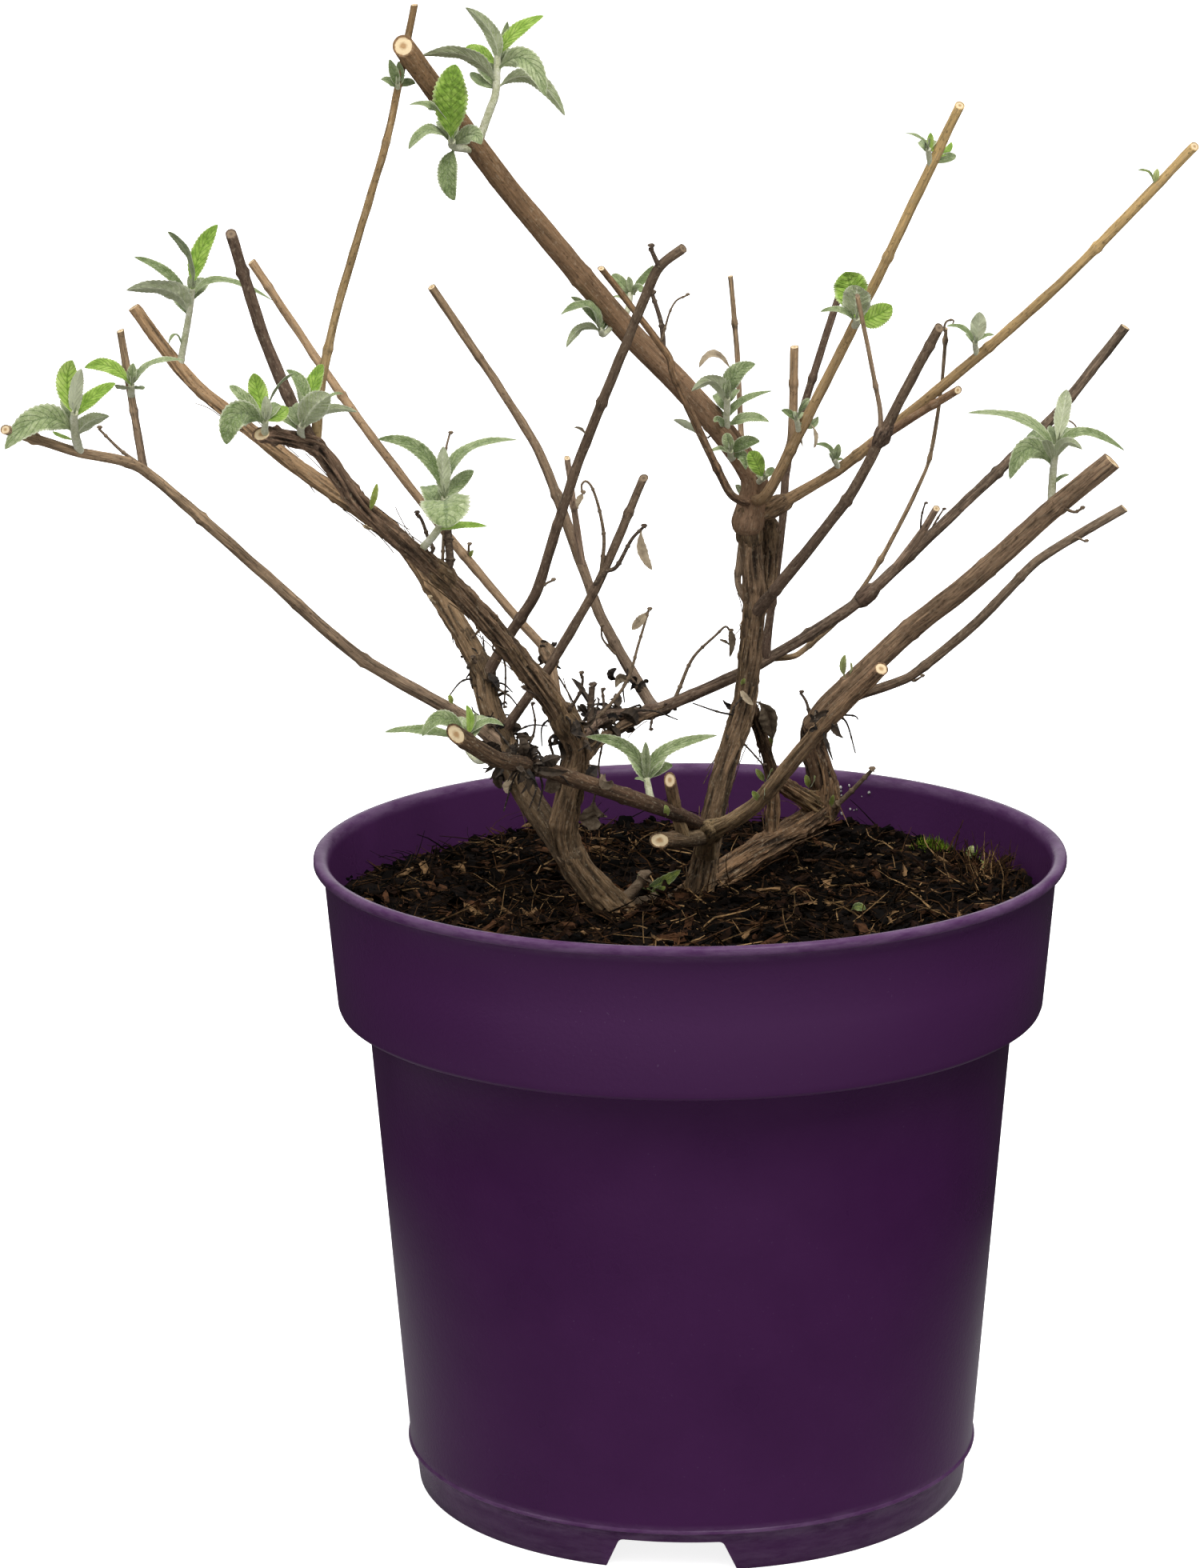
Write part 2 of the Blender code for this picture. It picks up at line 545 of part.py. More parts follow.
def make_shoots(parent, routes, grown):
    """Shoots of paired leaves; a leaf that would touch a limb or another shoot is left out."""
    rng = random.Random(SEED)
    walls = [tree_of(cutter) for cutter in grown.values()]
    for name, (limb, share, step, turn, pairs) in SHOOTS.items():
        width = ROUND_LEAF_WIDTH if name in ROUND_LEAVED else LEAF_WIDTH
        foot = point_at(routes[limb], share)
        axis = Vector(step).normalized()
        tip = foot + Vector(step)
        stem = tube(name, smooth_route([foot, (foot + tip) / 2, tip], 5),
                    [SHOOT_FOOT / 2] + [SHOOT_TIP / 2] * 20, SHOOT_SIDES, parent)
        stem_tree = tree_of(stem)
        for cutter, wall in zip(grown.values(), walls):
            if stem_tree.overlap(wall):
                apply_boolean(stem, "DIFFERENCE", cutter)
        keep_largest_body(stem)
        leaves = bpy.data.collections.new(name + "_leaves")
        bpy.context.scene.collection.children.link(leaves)
        right = Vector((1, 0, 0))
        right = (right - axis * right.dot(axis)).normalized()
        front = axis.cross(right)
        for k, (length, opening, droop) in enumerate(pairs):
            level = FIRST_PAIR + (LAST_PAIR - FIRST_PAIR) * (k + 0.5) / len(pairs)
            angle = math.radians(turn + 90 * k)
            for way in (1, -1):
                side = (right * math.cos(angle) + front * math.sin(angle)) * way
                blade = leaf(name + "_leaf", foot + Vector(step) * level, axis, side,
                             length * rng.uniform(0.93, 1.05), width,
                             opening + rng.uniform(-4, 4), droop, parent)
                if any(tree_of(blade).overlap(wall) for wall in walls):
                    bpy.data.objects.remove(blade)
                    continue
                bpy.context.scene.collection.objects.unlink(blade)
                leaves.objects.link(blade)
        apply_boolean(stem, "UNION", collection=leaves)
        for blade in list(leaves.objects):
            bpy.data.objects.remove(blade)
        bpy.data.collections.remove(leaves)
        keep_largest_body(stem)
        finish(stem, FELTED_LEAF)
        walls.append(tree_of(stem))


def main():
    clear_scene()
    axis = bpy.data.objects.new("pot_axis", None)
    axis.location = (POT_AXIS_X * MM, 0, 0)
    bpy.context.scene.collection.objects.link(axis)
    make_pot(axis)
    soil = make_soil(axis)
    finish(soil, PEAT)
    raised_soil = make_soil(axis, "soil_cutter", GAP)
    routes, grown = make_limbs(axis, raised_soil)
    bpy.data.objects.remove(raised_soil)
    make_shoots(axis, routes, grown)
    for cutter in grown.values():
        bpy.data.objects.remove(cutter)


main()
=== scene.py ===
"""A butterfly bush in a nursery pot, pruned hard and just coming into leaf, dressed for a picture.

Pieces are modelled in millimetres from the foot of the pot's axis and then settled into the
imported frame, which is in metres. Limbs and shoots grow from the same tables as the solids.
"""

import math
import random

import bpy
import numpy as np
from mathutils import Matrix, Vector, noise


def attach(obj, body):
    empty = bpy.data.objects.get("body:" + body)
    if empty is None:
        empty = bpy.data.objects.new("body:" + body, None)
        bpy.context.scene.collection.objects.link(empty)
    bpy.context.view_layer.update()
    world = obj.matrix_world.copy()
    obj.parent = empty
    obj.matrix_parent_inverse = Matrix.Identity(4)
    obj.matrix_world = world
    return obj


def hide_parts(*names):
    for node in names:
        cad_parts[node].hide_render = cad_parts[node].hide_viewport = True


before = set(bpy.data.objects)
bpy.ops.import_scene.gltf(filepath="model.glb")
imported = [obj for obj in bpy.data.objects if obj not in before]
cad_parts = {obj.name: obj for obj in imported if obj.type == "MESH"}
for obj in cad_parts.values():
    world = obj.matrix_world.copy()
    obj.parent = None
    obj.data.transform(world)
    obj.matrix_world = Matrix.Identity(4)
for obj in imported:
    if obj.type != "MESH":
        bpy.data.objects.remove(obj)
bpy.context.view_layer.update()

MM = 0.001
SEED = 7


def table(text):
    """Rows of 'name: cell / cell', where a cell holds words and numbers."""
    rows = {}
    for line in text.strip().replace("\n    ", " ").splitlines():
        name, cells = line.split(": ", 1)
        rows[name] = [[word if word[0].isalpha() else float(word) for word in cell.split()]
                      for cell in cells.split(" / ")]
    return rows


def threes(numbers):
    return [numbers[k:k + 3] for k in range(0, len(numbers), 3)]


POT_AXIS_X = 25.0
INTO_FRAME = Matrix.Translation((POT_AXIS_X * MM, 0, 0)) @ Matrix.Scale(MM, 4)

# The pot, in millimetres
POT_SIDES = 192
POT_HEIGHT = 200.8
FLOOR_EDGE = 30.0  # radius of the disc that closes each face of the pot's floor
COLLAR_INSIDE = 155.0  # above this height the inner wall is seen
WALL_LOW, WALL_HIGH = (107.0, 158), (110.0, 197.2)  # radius and height of the seen inner wall
NOTCHES, NOTCH_TOP, NOTCH_FOOT, NOTCH_HEIGHT = 3, 31.0, 41.0, 9.5
NOTCH_OFF_FRONT = -4.1  # degrees that the front notch sits left of the pot's front
NOTCH_DEPTH, NOTCH_CIRCLE, NOTCH_ROUNDING = 24.0, 86.0, 1.2
DRAINS, DRAIN_RADIUS, DRAIN_CIRCLE = 4, 6.0, 48.0
# Radius and height, from the middle of the floor's upper face, over the rim, to its underside
POT_PROFILE = [
    (30, 13.3), (66, 13.3), (84, 13.4), (85.6, 14.2), (86.4, 16.5), (90.5, 70), (97.3, 151),
    (98.6, 152.6), (104.6, 154.2), (106.3, 155.4), (107.0, 158), (110.0, 197.2), (110.8, 199.6),
    (111.9, 200.6), (112.9, 200.8), (114.2, 200.8), (114.8, 200.4), (115.0, 199.8), (115.0, 198.6),
    (114.7, 198.1), (113.9, 197.8), (112.5, 197.6), (112.0, 197.0), (110.2, 176), (108.3, 154.6),
    (107.9, 153.6), (107.2, 153.2), (101.5, 153.1), (99.9, 152.8), (99.2, 151.8), (96.4, 117),
    (92.5, 68), (88.3, 15.2), (88.35, 13.9), (88.85, 13.4), (88.9, 12.9), (88.5, 12.5),
    (86.9, 12.2), (85.5, 0.5), (85.1, 0), (84.0, 0), (83.7, 0.4), (84.6, 11), (66, 11), (30, 11),
]

# The soil
SOIL_TOP = 184.5
SOIL_RADIUS = 108.6
SOIL_BUMPS = 1.6
SOIL_SIDES, SOIL_RINGS = 160, 52

# Limbs
FLARE_REACH = 9.0
TAPER = 1.3
RING = 1.0  # between a limb's rings
SIDES_STOUT, SIDES_SLIM, STOUT = 48, 18, 5.0
# Each ring of a cut face: its step out by shares of the tip's width, and its size by the last
CUT_RINGS = ((0.0, 0.84), (-0.03, 0.97), (0.02, 0.6), (-0.05, 0.3))
CUT_STEPS = (0.0, 0.12, 0.55, 1.0)  # how far in from the rim each ring is
LIMB_EASE = 0.3  # how roundly a limb turns at its bends

# Limbs, in millimetres. name: what carries it, share of that where it starts, diameter at the
# foot and the tip, flare at the foot / then the places it passes through
LIMBS = {name: (carrier, share, foot, tip, flare, bends)
         for name, ((carrier, share, foot, tip, flare), *bends) in table("""
left_stem: soil 0 9.6 4.4 0.35 / -18 -10 179 / -34 -10 197 / -38 -11 210 / -34 -16 236 / -41 -22
    252 / -56 -32 274 / -70 -42 292 / -94 -60 318 / -107 -67 337 / -121 -92 345
left_back_bough: left_stem 0.125 8.6 3.8 0.1 / -51 4 219 / -61 10 243 / -65 18 256 / -88 40 288
    / -124 66 309 / -157 88 331 / -177 97 355
left_dark_shoot: left_stem 0.875 3.8 3.2 0.2 / -113 -66 348 / -121 -66 368 / -129 -76 400
left_tall_shoot: left_stem 0.87 2.8 2.1 0.2 / -105 -62 356 / -100 -48 378 / -88 -36 417 / -85 -28
    430 / -79 -20 459
left_low_bough: left_back_bough 0.165 4.4 2.9 0.2 / -66 2 240 / -100 -12 264 / -130 -28 296 / -160
    -40 326 / -177 -52 333 / -197 -64 342
left_low_shoot: left_low_bough 0.755 2.3 2.3 0.2 / -160 -37 327 / -166 -32 366
left_thin_bough: left_stem 0.275 2.9 2.8 0.1 / -40 4 246 / -43 20 257 / -52 32 265 / -72 50 285
    / -99 66 317 / -118 92 338 / -140 108 368
middle_dark_bough: left_back_bough 0.26 3.3 2.9 0.2 / -54 8 267 / -46 0 281 / -39 -8 304 / -32 -14
    325 / -18 -28 361 / -9 -36 383 / -1 -38 390
middle_dark_shoot: left_back_bough 0.185 3.2 2.7 0.1 / -42 -4 259 / -27 -10 286 / -13 -14 319
back_bough: left_stem 0.29 4 3.3 0.2 / -26 10 240 / -10 28 238 / 22 40 250 / 53 52 267 / 90 66 299
    / 116 78 322 / 138 84 349
back_brace: left_stem 0.25 3.4 3 0.1 / -25 8 235 / -9 27 237
back_shoot: back_bough 0.209 3.8 2.7 0.2 / -13 44 238 / -28 62 261 / -48 82 311 / -82 98 361
back_shoot_stub: back_shoot 0.39 2.1 1.9 0.2 / -38 60 312
back_bough_stub: back_bough 0.57 2.6 2.3 0.2 / 73 50 290 / 77 46 298
back_thin_shoot: back_bough 0.37 1.9 1.1 0.2 / 34 53 250 / 49 60 262 / 62 64 281 / 75 66 308 / 79
    64 333 / 80 60 352
centre_stem: soil 0 7.6 6.4 0.45 / 1 2 178 / 9 8 217 / 17 14 244 / 20 14 277 / 18 12 300
centre_twin: centre_stem 0.745 5.7 5.2 0 / 24 20 282 / 25 18 300
centre_dark_shoot: back_bough 0.368 2.8 2.3 0.2 / 24 40 256 / 29 40 295 / 31 42 315 / 47 48 366
centre_thin_shoot: centre_stem 0.77 2 1.6 0.2 / 15 24 279 / 17 34 301 / 15 46 347 / 13 50 370
top_bough: centre_stem 1 7.8 6.4 0.3 / 20 13 313 / 10 13 328 / -3 11 343 / -19 8 360 / -54 -8 405
    / -83 -30 449
top_bough_shoot: top_bough 0.03 2.6 2 0.2 / 12 -2 312 / -4 -8 347 / -6 -8 354 / -20 -10 373 / -26
    -12 381
right_tall_bough: top_bough 0.035 3.3 2.9 0.25 / 25 0 313 / 54 -10 373 / 79 -28 430
right_tall_stub: right_tall_bough 0.13 2.7 2.6 0.2 / 31 6 326 / 32 12 354
right_long_bough: top_bough 0 3.5 2.8 0.3 / 46 14 316 / 84 0 350 / 112 -14 378 / 147 -30 418
right_long_stub: right_long_bough 0.236 2.5 2.4 0.2 / 68 2 334 / 81 -4 343
right_dark_bough: centre_stem 0.765 3.7 2.9 0.2 / 27 2 282 / 48 -20 314 / 64 -32 348 / 73 -40 367
right_dark_twig: right_dark_bough 0.662 1.4 1.3 0.2 / 56 -30 342 / 49 -38 376
right_stem: soil 0 8.8 8.4 0.25 / 1 8 183 / 19 26 192 / 33 42 196 / 43 50 203 / 39 52 221 / 40 50
    230
centre_prop: right_stem 0.41 4.3 3.7 0.1 / 26 36 207 / 25 34 220 / 18 15 246
right_thick_bough: right_stem 0.97 7.2 6.2 0.1 / 44 48 235 / 68 44 259 / 83 36 273 / 97 29 287
    / 109 22 300 / 127 10 318
right_low_bough: right_stem 0.945 3.2 3 0.2 / 52 58 235 / 70 66 240 / 91 72 256 / 110 76 275 / 124
    80 283 / 139 84 291
right_stem_stub: right_stem 0.66 6 5 0.1 / 27 36 214
front_bough: centre_stem 0.16 5.2 4.2 0.25 / 6 -9 208 / 13 -18 214 / 21 -26 222 / 38 -46 248 / 56
    -64 271
front_stub: front_bough 0.13 4.9 4.8 0.1 / 0 -17 208 / -10 -34 212
front_left_bough: centre_stem 0.22 4.6 5 0.3 / -6 -30 220 / -44 -54 239 / -56 -80 248 / -68 -92 259
front_upright_stub: front_stub 0.45 3.6 3.6 0.1 / -4 -26 219 / -6 -36 232
""").items()}
MEETS = {"back_brace": "back_bough", "centre_prop": "centre_stem"}  # limbs that end on another
TAN_LIMBS = ("left_tall_shoot", "left_thin_bough", "left_back_bough", "back_shoot", "top_bough",
             "right_tall_bough", "right_tall_stub", "right_long_bough", "right_long_stub")

OLD_WOOD = ("left_stem", "centre_stem", "centre_twin", "right_stem", "centre_prop", "back_brace",
            "right_stem_stub")
BARK_DEPTHS = {"left_back_bough": 0.6, "top_bough": 0.22, "right_thick_bough": 0.2,
               "front_bough": 0.3, "front_left_bough": 0.25, "back_bough": 0.3}
CUTS_LOOK = (-0.1, -1.0, 0.35)  # pruned faces look this way, as far as their limbs let them
# Limbs that end inside another, with no cut to see
JOINED = ("centre_stem", "centre_twin", "centre_prop", "back_brace", "right_stem")
# How steeply some faces slant towards that look
CUT_SLANTS = {"front_left_bough": 0.95, "front_stub": 0.9, "front_upright_stub": 0.9,
              "left_stem": 0.8, "right_long_stub": 0.7, "top_bough": 0.6,
              "right_thick_bough": -0.35}
# How far apart the bark's knots are, least and most
KNOT_GAPS = {"aged": (15, 26), "tan": (44, 70), "dark": (26, 44), "old": (26, 44)}

# Finishes

def tint(red, green, blue):
    """A colour as it looks on a screen, 0 to 255, made linear."""
    return tuple((c / 255 / 12.92 if c < 11 else ((c / 255 + 0.055) / 1.055) ** 2.4)
                 for c in (red, green, blue)) + (1,)


# Bark tones at a limb's foot and at its tip. Each is matched to how bright that limb looks where it
# sits, so besides the bark's own colour it holds painted light and painted shade: limbs deep in the
# bush, such as the left stem and the stubs, are painted paler
TONES = (
    ((tint(110, 89, 65), tint(120, 97, 75)), ("centre_stem", "centre_twin", "back_brace")),
    # the left stem's tone is raised to make up for the shade it sits in: painted light
    ((tint(122, 99, 72), tint(118, 94, 76)), ("left_stem",)),
    ((tint(126, 98, 70), tint(90, 68, 50)), ("right_stem", "centre_prop")),
    ((tint(131, 103, 79), tint(131, 102, 71)), ("top_bough", "top_bough_shoot")),
    ((tint(150, 118, 92), tint(130, 100, 70)), ("right_long_stub",)),
    ((tint(122, 100, 80), tint(128, 110, 90)), ("right_low_bough",)),
    ((tint(144, 117, 91), tint(163, 135, 107)), ("right_thick_bough",)),
    ((tint(113, 92, 76), tint(113, 96, 79)), ("back_bough",)),
    ((tint(109, 89, 74), tint(114, 95, 76)),
     ("middle_dark_bough", "middle_dark_shoot", "right_dark_bough")),
    ((tint(103, 83, 69), tint(106, 86, 70)), ("left_dark_shoot", "centre_dark_shoot")),
    ((tint(139, 112, 83), tint(215, 181, 123)), ("right_tall_bough", "right_long_bough")),
    ((tint(94, 76, 55), tint(165, 133, 97)), ("left_back_bough",)),
    ((tint(138, 114, 89), tint(165, 135, 101)), ("left_thin_bough", "right_tall_stub")),
    ((tint(156, 132, 91), tint(126, 99, 65)), ("left_tall_shoot",)),
    ((tint(158, 134, 111), tint(160, 134, 103)),
     ("left_low_bough", "left_low_shoot", "centre_thin_shoot", "right_dark_twig")),
    ((tint(124, 105, 88), tint(138, 114, 86)), ("back_shoot",)),
    # these stubs sit in shade and are painted paler: painted light
    ((tint(182, 154, 130), tint(182, 154, 130)), ("back_shoot_stub", "back_bough_stub")),
    ((tint(158, 131, 98), tint(146, 125, 101)), ("back_thin_shoot",)),
    ((tint(148, 125, 91), tint(138, 109, 83)), ("front_bough", "front_upright_stub")),
    ((tint(110, 93, 70), tint(112, 90, 67)), ("front_stub",)),
    ((tint(128, 106, 72), tint(122, 94, 70)), ("right_stem_stub",)),
    ((tint(87, 66, 51), tint(98, 76, 55)), ("front_left_bough",)),
)


def new_finish(name):
    made = bpy.data.materials.new(name)
    made.use_nodes = True
    return made, made.node_tree, made.node_tree.nodes["Principled BSDF"]


def add_node(tree, kind, settings=None, **inputs):
    made = tree.nodes.new("ShaderNode" + kind)
    for key, value in (settings or {}).items():
        setattr(made, key, value)
    for key, value in inputs.items():
        wire(tree, made.inputs[key.replace("_", " ")], value)
    return made


def wire(tree, socket, value):
    if isinstance(value, bpy.types.NodeSocket):
        tree.links.new(value, socket)
    else:
        socket.default_value = value


def blend_colours(tree, share, first, second, way="MIX"):
    made = add_node(tree, "Mix", {"data_type": "RGBA", "blend_type": way})
    for index, value in ((0, share), (6, first), (7, second)):
        wire(tree, made.inputs[index], value)
    return made.outputs[2]


def reckon(tree, way, first, second=0.0, third=0.0):
    made = add_node(tree, "Math", {"operation": way})
    for index, value in enumerate((first, second, third)):
        wire(tree, made.inputs[index], value)
    return made.outputs[0]


def ramp(tree, value, *stops):
    """A value turned into a colour or a share, through stops of place and colour or share."""
    made = add_node(tree, "ValToRGB")
    wire(tree, made.inputs[0], value)
    bar = made.color_ramp
    while len(bar.elements) < len(stops):
        bar.elements.new(0.5)
    for element, (place, colour) in zip(bar.elements, stops):
        element.position = place
        element.color = colour if isinstance(colour, tuple) else (colour, colour, colour, 1)
    return made.outputs[0]


def speckle(tree, where, scale, detail=3.0, roughness=0.6, distortion=0.0):
    return add_node(tree, "TexNoise", Vector=where, Scale=scale, Detail=detail,
                    Roughness=roughness, Distortion=distortion).outputs[0]


def stretched(tree, where, scale):
    return add_node(tree, "Mapping", Vector=where, Scale=scale).outputs[0]


def raise_surface(tree, shader, height, strength, distance):
    made = add_node(tree, "Bump", Height=height, Strength=strength, Distance=distance)
    tree.links.new(made.outputs[0], shader.inputs["Normal"])


def coat(tree, shader, colour, **settings):
    """Give a finish its colour, and its constant settings on their own sockets."""
    tree.links.new(colour, shader.inputs["Base Color"])
    for name, value in settings.items():
        shader.inputs[name.replace("_", " ")].default_value = value


def weigh(tree, *parts):
    """The sum of some values, each times its weight."""
    total = 0.0
    for value, weight in parts:
        total = reckon(tree, "MULTIPLY_ADD", value, weight, total)
    return total


def layered(tree, colour, *layers):
    """A colour with others laid over it, each by its share."""
    for share, over in layers:
        colour = blend_colours(tree, share, colour, over)
    return colour


def kept_value(tree, name, output="Fac"):
    return add_node(tree, "Attribute", {"attribute_name": name}).outputs[output]


def in_place(tree):
    return add_node(tree, "TexCoord").outputs["Object"]


def bark(name, strands, depth, roughness, contrast):
    """Bark with long strands: each limb carries its own tone and the run of its grain."""
    made, tree, shader = new_finish(name)
    grain, tone = kept_value(tree, "grain", "Vector"), kept_value(tree, "tone", "Color")
    relief = kept_value(tree, "relief")

    def along_grain(run, across, *settings):
        return speckle(tree, stretched(tree, grain, (run, across, across)), 1.0, *settings)

    broad = along_grain(0.06, 0.4, 3)
    fibres = along_grain(0.10, strands, 5, 0.65, 0.4)
    hairs = along_grain(0.30, strands * 3, 3, 0.6)
    flecks = along_grain(0.7, 1.3, 3, 0.6)
    # relief darkens the colour where the bark sinks, a little in mixed and more in the groove
    # factor below: painted shade in the grooves
    mixed = weigh(tree, (fibres, 0.5), (broad, 0.2), (hairs, 0.3), (relief, 0.12))
    shade = ramp(tree, mixed, *((place, share ** contrast) for place, share in
                                ((0.38, 0.26), (0.46, 0.68), (0.53, 1.10), (0.62, 1.9))))
    groove_shade = ramp(tree, reckon(tree, "MULTIPLY_ADD", relief, 0.5, 0.5), (0.12, 0.55), (0.5, 1.10))
    colour = blend_colours(tree, 1.0, tone, shade, "MULTIPLY")
    colour = blend_colours(tree, 1.0, colour, groove_shade, "MULTIPLY")
    worn = ramp(tree, flecks, (0.56, 0.0), (0.68, 0.4))
    pits = ramp(tree, flecks, (0.32, 0.55), (0.42, 0.0))
    colour = layered(tree, colour, (worn, tint(176, 160, 134)), (pits, tint(34, 25, 18)))
    coat(tree, shader, colour, Roughness=roughness, Specular_IOR_Level=0.3)
    raise_surface(tree, shader, weigh(tree, (fibres, 1.0), (hairs, 0.45)), 0.9, depth)
    return made


def cut_wood(name, deep, middle, light):
    """A pruned face of bare wood."""
    made, tree, shader = new_finish(name)
    grain = speckle(tree, in_place(tree), 900, 3)
    inward = kept_value(tree, "relief")
    place = reckon(tree, "ADD", inward, reckon(tree, "MULTIPLY_ADD", grain, 0.5, -0.25))
    coat(tree, shader, ramp(tree, place, (0.0, deep), (0.10, middle), (0.22, light),
                            (0.6, light), (0.95, middle)), Roughness=0.8)
    raise_surface(tree, shader, grain, 0.6, 0.0003)
    return made


def leaf_face(name, deep, middle, light, vein, edge, felt):
    """A leaf's face: darker veins and a paler rim on a finely felted blade."""
    made, tree, shader = new_finish(name)
    split = add_node(tree, "SeparateXYZ",
                     Vector=add_node(tree, "UVMap", {"uv_map": "blade"}).outputs[0])
    along, across = split.outputs[0], split.outputs[1]
    off_rib = reckon(tree, "ABSOLUTE", reckon(tree, "SUBTRACT", across, 0.5))
    where = in_place(tree)
    mottle = speckle(tree, where, 420, 4, 0.65)
    down = speckle(tree, where, 2600, 2, 0.6)
    value = reckon(tree, "ADD", reckon(tree, "MULTIPLY_ADD", mottle, 1.1, -0.27),
                   reckon(tree, "MULTIPLY", kept_value(tree, "age"), 0.45))
    # side veins run forward from the midrib
    phase = weigh(tree, (along, 9.0), (off_rib, -4.6))
    wave = reckon(tree, "ABSOLUTE", reckon(tree, "SUBTRACT", reckon(tree, "FRACT", phase), 0.5))
    side_vein = ramp(tree, wave, (0.0, 0.7), (0.16, 0.0))
    rib = ramp(tree, off_rib, (0.022, 0.9), (0.055, 0.0))
    rim = ramp(tree, off_rib, (0.40, 0.0), (0.49, 0.85))
    fuzz = ramp(tree, down, (0.50, 0.0), (0.72, felt))
    colour = layered(tree, ramp(tree, value, (0.24, deep), (0.50, middle), (0.76, light)),
                     (side_vein, vein), (rib, vein), (rim, edge), (fuzz, edge))
    coat(tree, shader, colour, Roughness=0.78, Specular_IOR_Level=0.25, Sheen_Weight=0.25,
         Sheen_Roughness=0.5)
    height = weigh(tree, (down, 0.5), (mottle, 0.8), (side_vein, -0.8))
    raise_surface(tree, shader, height, 0.7, 0.00035)
    return made


def woolly():
    """A young shoot's stem, white with down over green."""
    made, tree, shader = new_finish("woolly_stem")
    where = in_place(tree)
    down, broad = speckle(tree, where, 1800, 4, 0.7), speckle(tree, where, 220, 2)
    coat(tree, shader, ramp(tree, weigh(tree, (down, 0.6), (broad, 0.4)),
                            (0.36, tint(168, 172, 124)), (0.50, tint(206, 207, 172)),
                            (0.64, tint(232, 231, 212))), Roughness=0.9, Sheen_Weight=0.4)
    raise_surface(tree, shader, down, 0.9, 0.0005)
    return made


def dead_leaf_face():
    made, tree, shader = new_finish("dead_leaf")
    mottle = speckle(tree, in_place(tree), 300, 5, 0.7)
    coat(tree, shader, ramp(tree, weigh(tree, (mottle, 0.5), (kept_value(tree, "age"), 0.5)),
                            (0.24, tint(24, 18, 14)), (0.5, tint(96, 80, 62)),
                            (0.72, tint(170, 154, 128))), Roughness=0.85)
    raise_surface(tree, shader, mottle, 0.8, 0.0006)
    return made


def shades(name, scale, *colours):
    """Plain colours of one kind of bit, each with a fine speckle, to be dealt out bit by bit."""
    made = []
    for number, colour in enumerate(colours):
        finish, tree, shader = new_finish("%s_%d" % (name, number + 1))
        fine = speckle(tree, in_place(tree), scale, 3)
        deep, light = (tint(*(min(255, c * share) for c in colour)) for share in (0.62, 1.28))
        coat(tree, shader, ramp(tree, fine, (0.36, deep), (0.64, light)), Roughness=0.9,
             Specular_IOR_Level=0.05)
        raise_surface(tree, shader, fine, 0.5, 0.0004)
        made.append(finish)
    return made


def peat():
    made, tree, shader = new_finish("damp_peat")
    where = in_place(tree)
    value = weigh(tree, (speckle(tree, where, 260, 6, 0.7), 0.6),
                  (speckle(tree, where, 1100, 4, 0.7), 0.4))
    coat(tree, shader, ramp(tree, value, (0.40, tint(7, 5, 3)), (0.52, tint(19, 12, 8)),
                            (0.62, tint(40, 26, 16)), (0.74, tint(70, 49, 30))),
         Roughness=0.95, Specular_IOR_Level=0.1)
    raise_surface(tree, shader, value, 1.0, 0.002)
    return made


def pot_plastic():
    """Deep purple moulded plastic, satin, a little dusty, with a few pale scuffs."""
    made, tree, shader = new_finish("pot_plastic")
    where = in_place(tree)
    peel, cloud, dust = (speckle(tree, where, scale, detail)
                         for scale, detail in ((700, 2), (24, 4), (1100, 2)))
    height = add_node(tree, "SeparateXYZ", Vector=where).outputs[2]
    inside = kept_value(tree, "inside")
    # the collar, the lip and the inner wall above the soil are painted paler than the wall below,
    # the same plastic shown as more lit: painted light
    paler = reckon(tree, "MAXIMUM", ramp(tree, height, (0.1525, 0.0), (0.1555, 0.8)), inside)
    dusty = reckon(tree, "MULTIPLY", ramp(tree, dust, (0.70, 0.0), (0.76, 1.0)),
                   ramp(tree, cloud, (0.48, 0.0), (0.66, 0.45)))
    # the lip's two edges and the foot's upper edge are rubbed pale
    scuff = speckle(tree, stretched(tree, where, (90, 90, 420)), 1.0, 5, 0.7)
    lip = ramp(tree, height, (0.1987, 0.0), (0.1989, 1.0), (0.1991, 1.0), (0.1993, 0.0),
               (0.2005, 0.0), (0.2008, 0.35))
    lip = reckon(tree, "MULTIPLY", lip, reckon(tree, "SUBTRACT", 1.0, inside))
    foot = ramp(tree, height, (0.0, 0.25), (0.011, 0.1), (0.0125, 0.9), (0.0136, 0.9),
                (0.0142, 0.0))
    worn = reckon(tree, "MULTIPLY", reckon(tree, "MAXIMUM", lip, foot),
                  ramp(tree, scuff, (0.36, 0.1), (0.62, 0.6)))
    # the paler layer is painted light on the collar, lip and inner wall
    colour = layered(tree, ramp(tree, cloud, (0.3, tint(61, 25, 68)), (0.7, tint(67, 29, 74))),
                     (paler, tint(74, 38, 81)), (dusty, tint(110, 86, 116)),
                     (worn, tint(158, 134, 164)))
    coat(tree, shader, colour, Specular_IOR_Level=0.1)
    tree.links.new(ramp(tree, cloud, (0.3, 0.26), (0.7, 0.34)), shader.inputs["Roughness"])
    raise_surface(tree, shader, weigh(tree, (peel, 1.0), (cloud, 2.0)), 0.15, 0.0004)
    return made

# Modelling by hand

def start():
    """Object mode, with nothing selected."""
    if bpy.context.mode != "OBJECT":
        bpy.ops.object.mode_set(mode="OBJECT")
    bpy.ops.object.select_all(action="DESELECT")


def name_piece(name, *finishes):
    ob = bpy.context.object
    bpy.ops.object.transform_apply(location=True, rotation=True, scale=True)
    ob.name = ob.data.name = name
    ob.data.materials.clear()
    for finish in finishes:
        ob.data.materials.append(finish)
    return ob


def pick(ob):
    start()
    ob.select_set(True)
    bpy.context.view_layer.objects.active = ob


def edit(ob, kind="VERT"):
    pick(ob)
    bpy.ops.object.mode_set(mode="EDIT")
    bpy.ops.mesh.select_mode(type=kind)


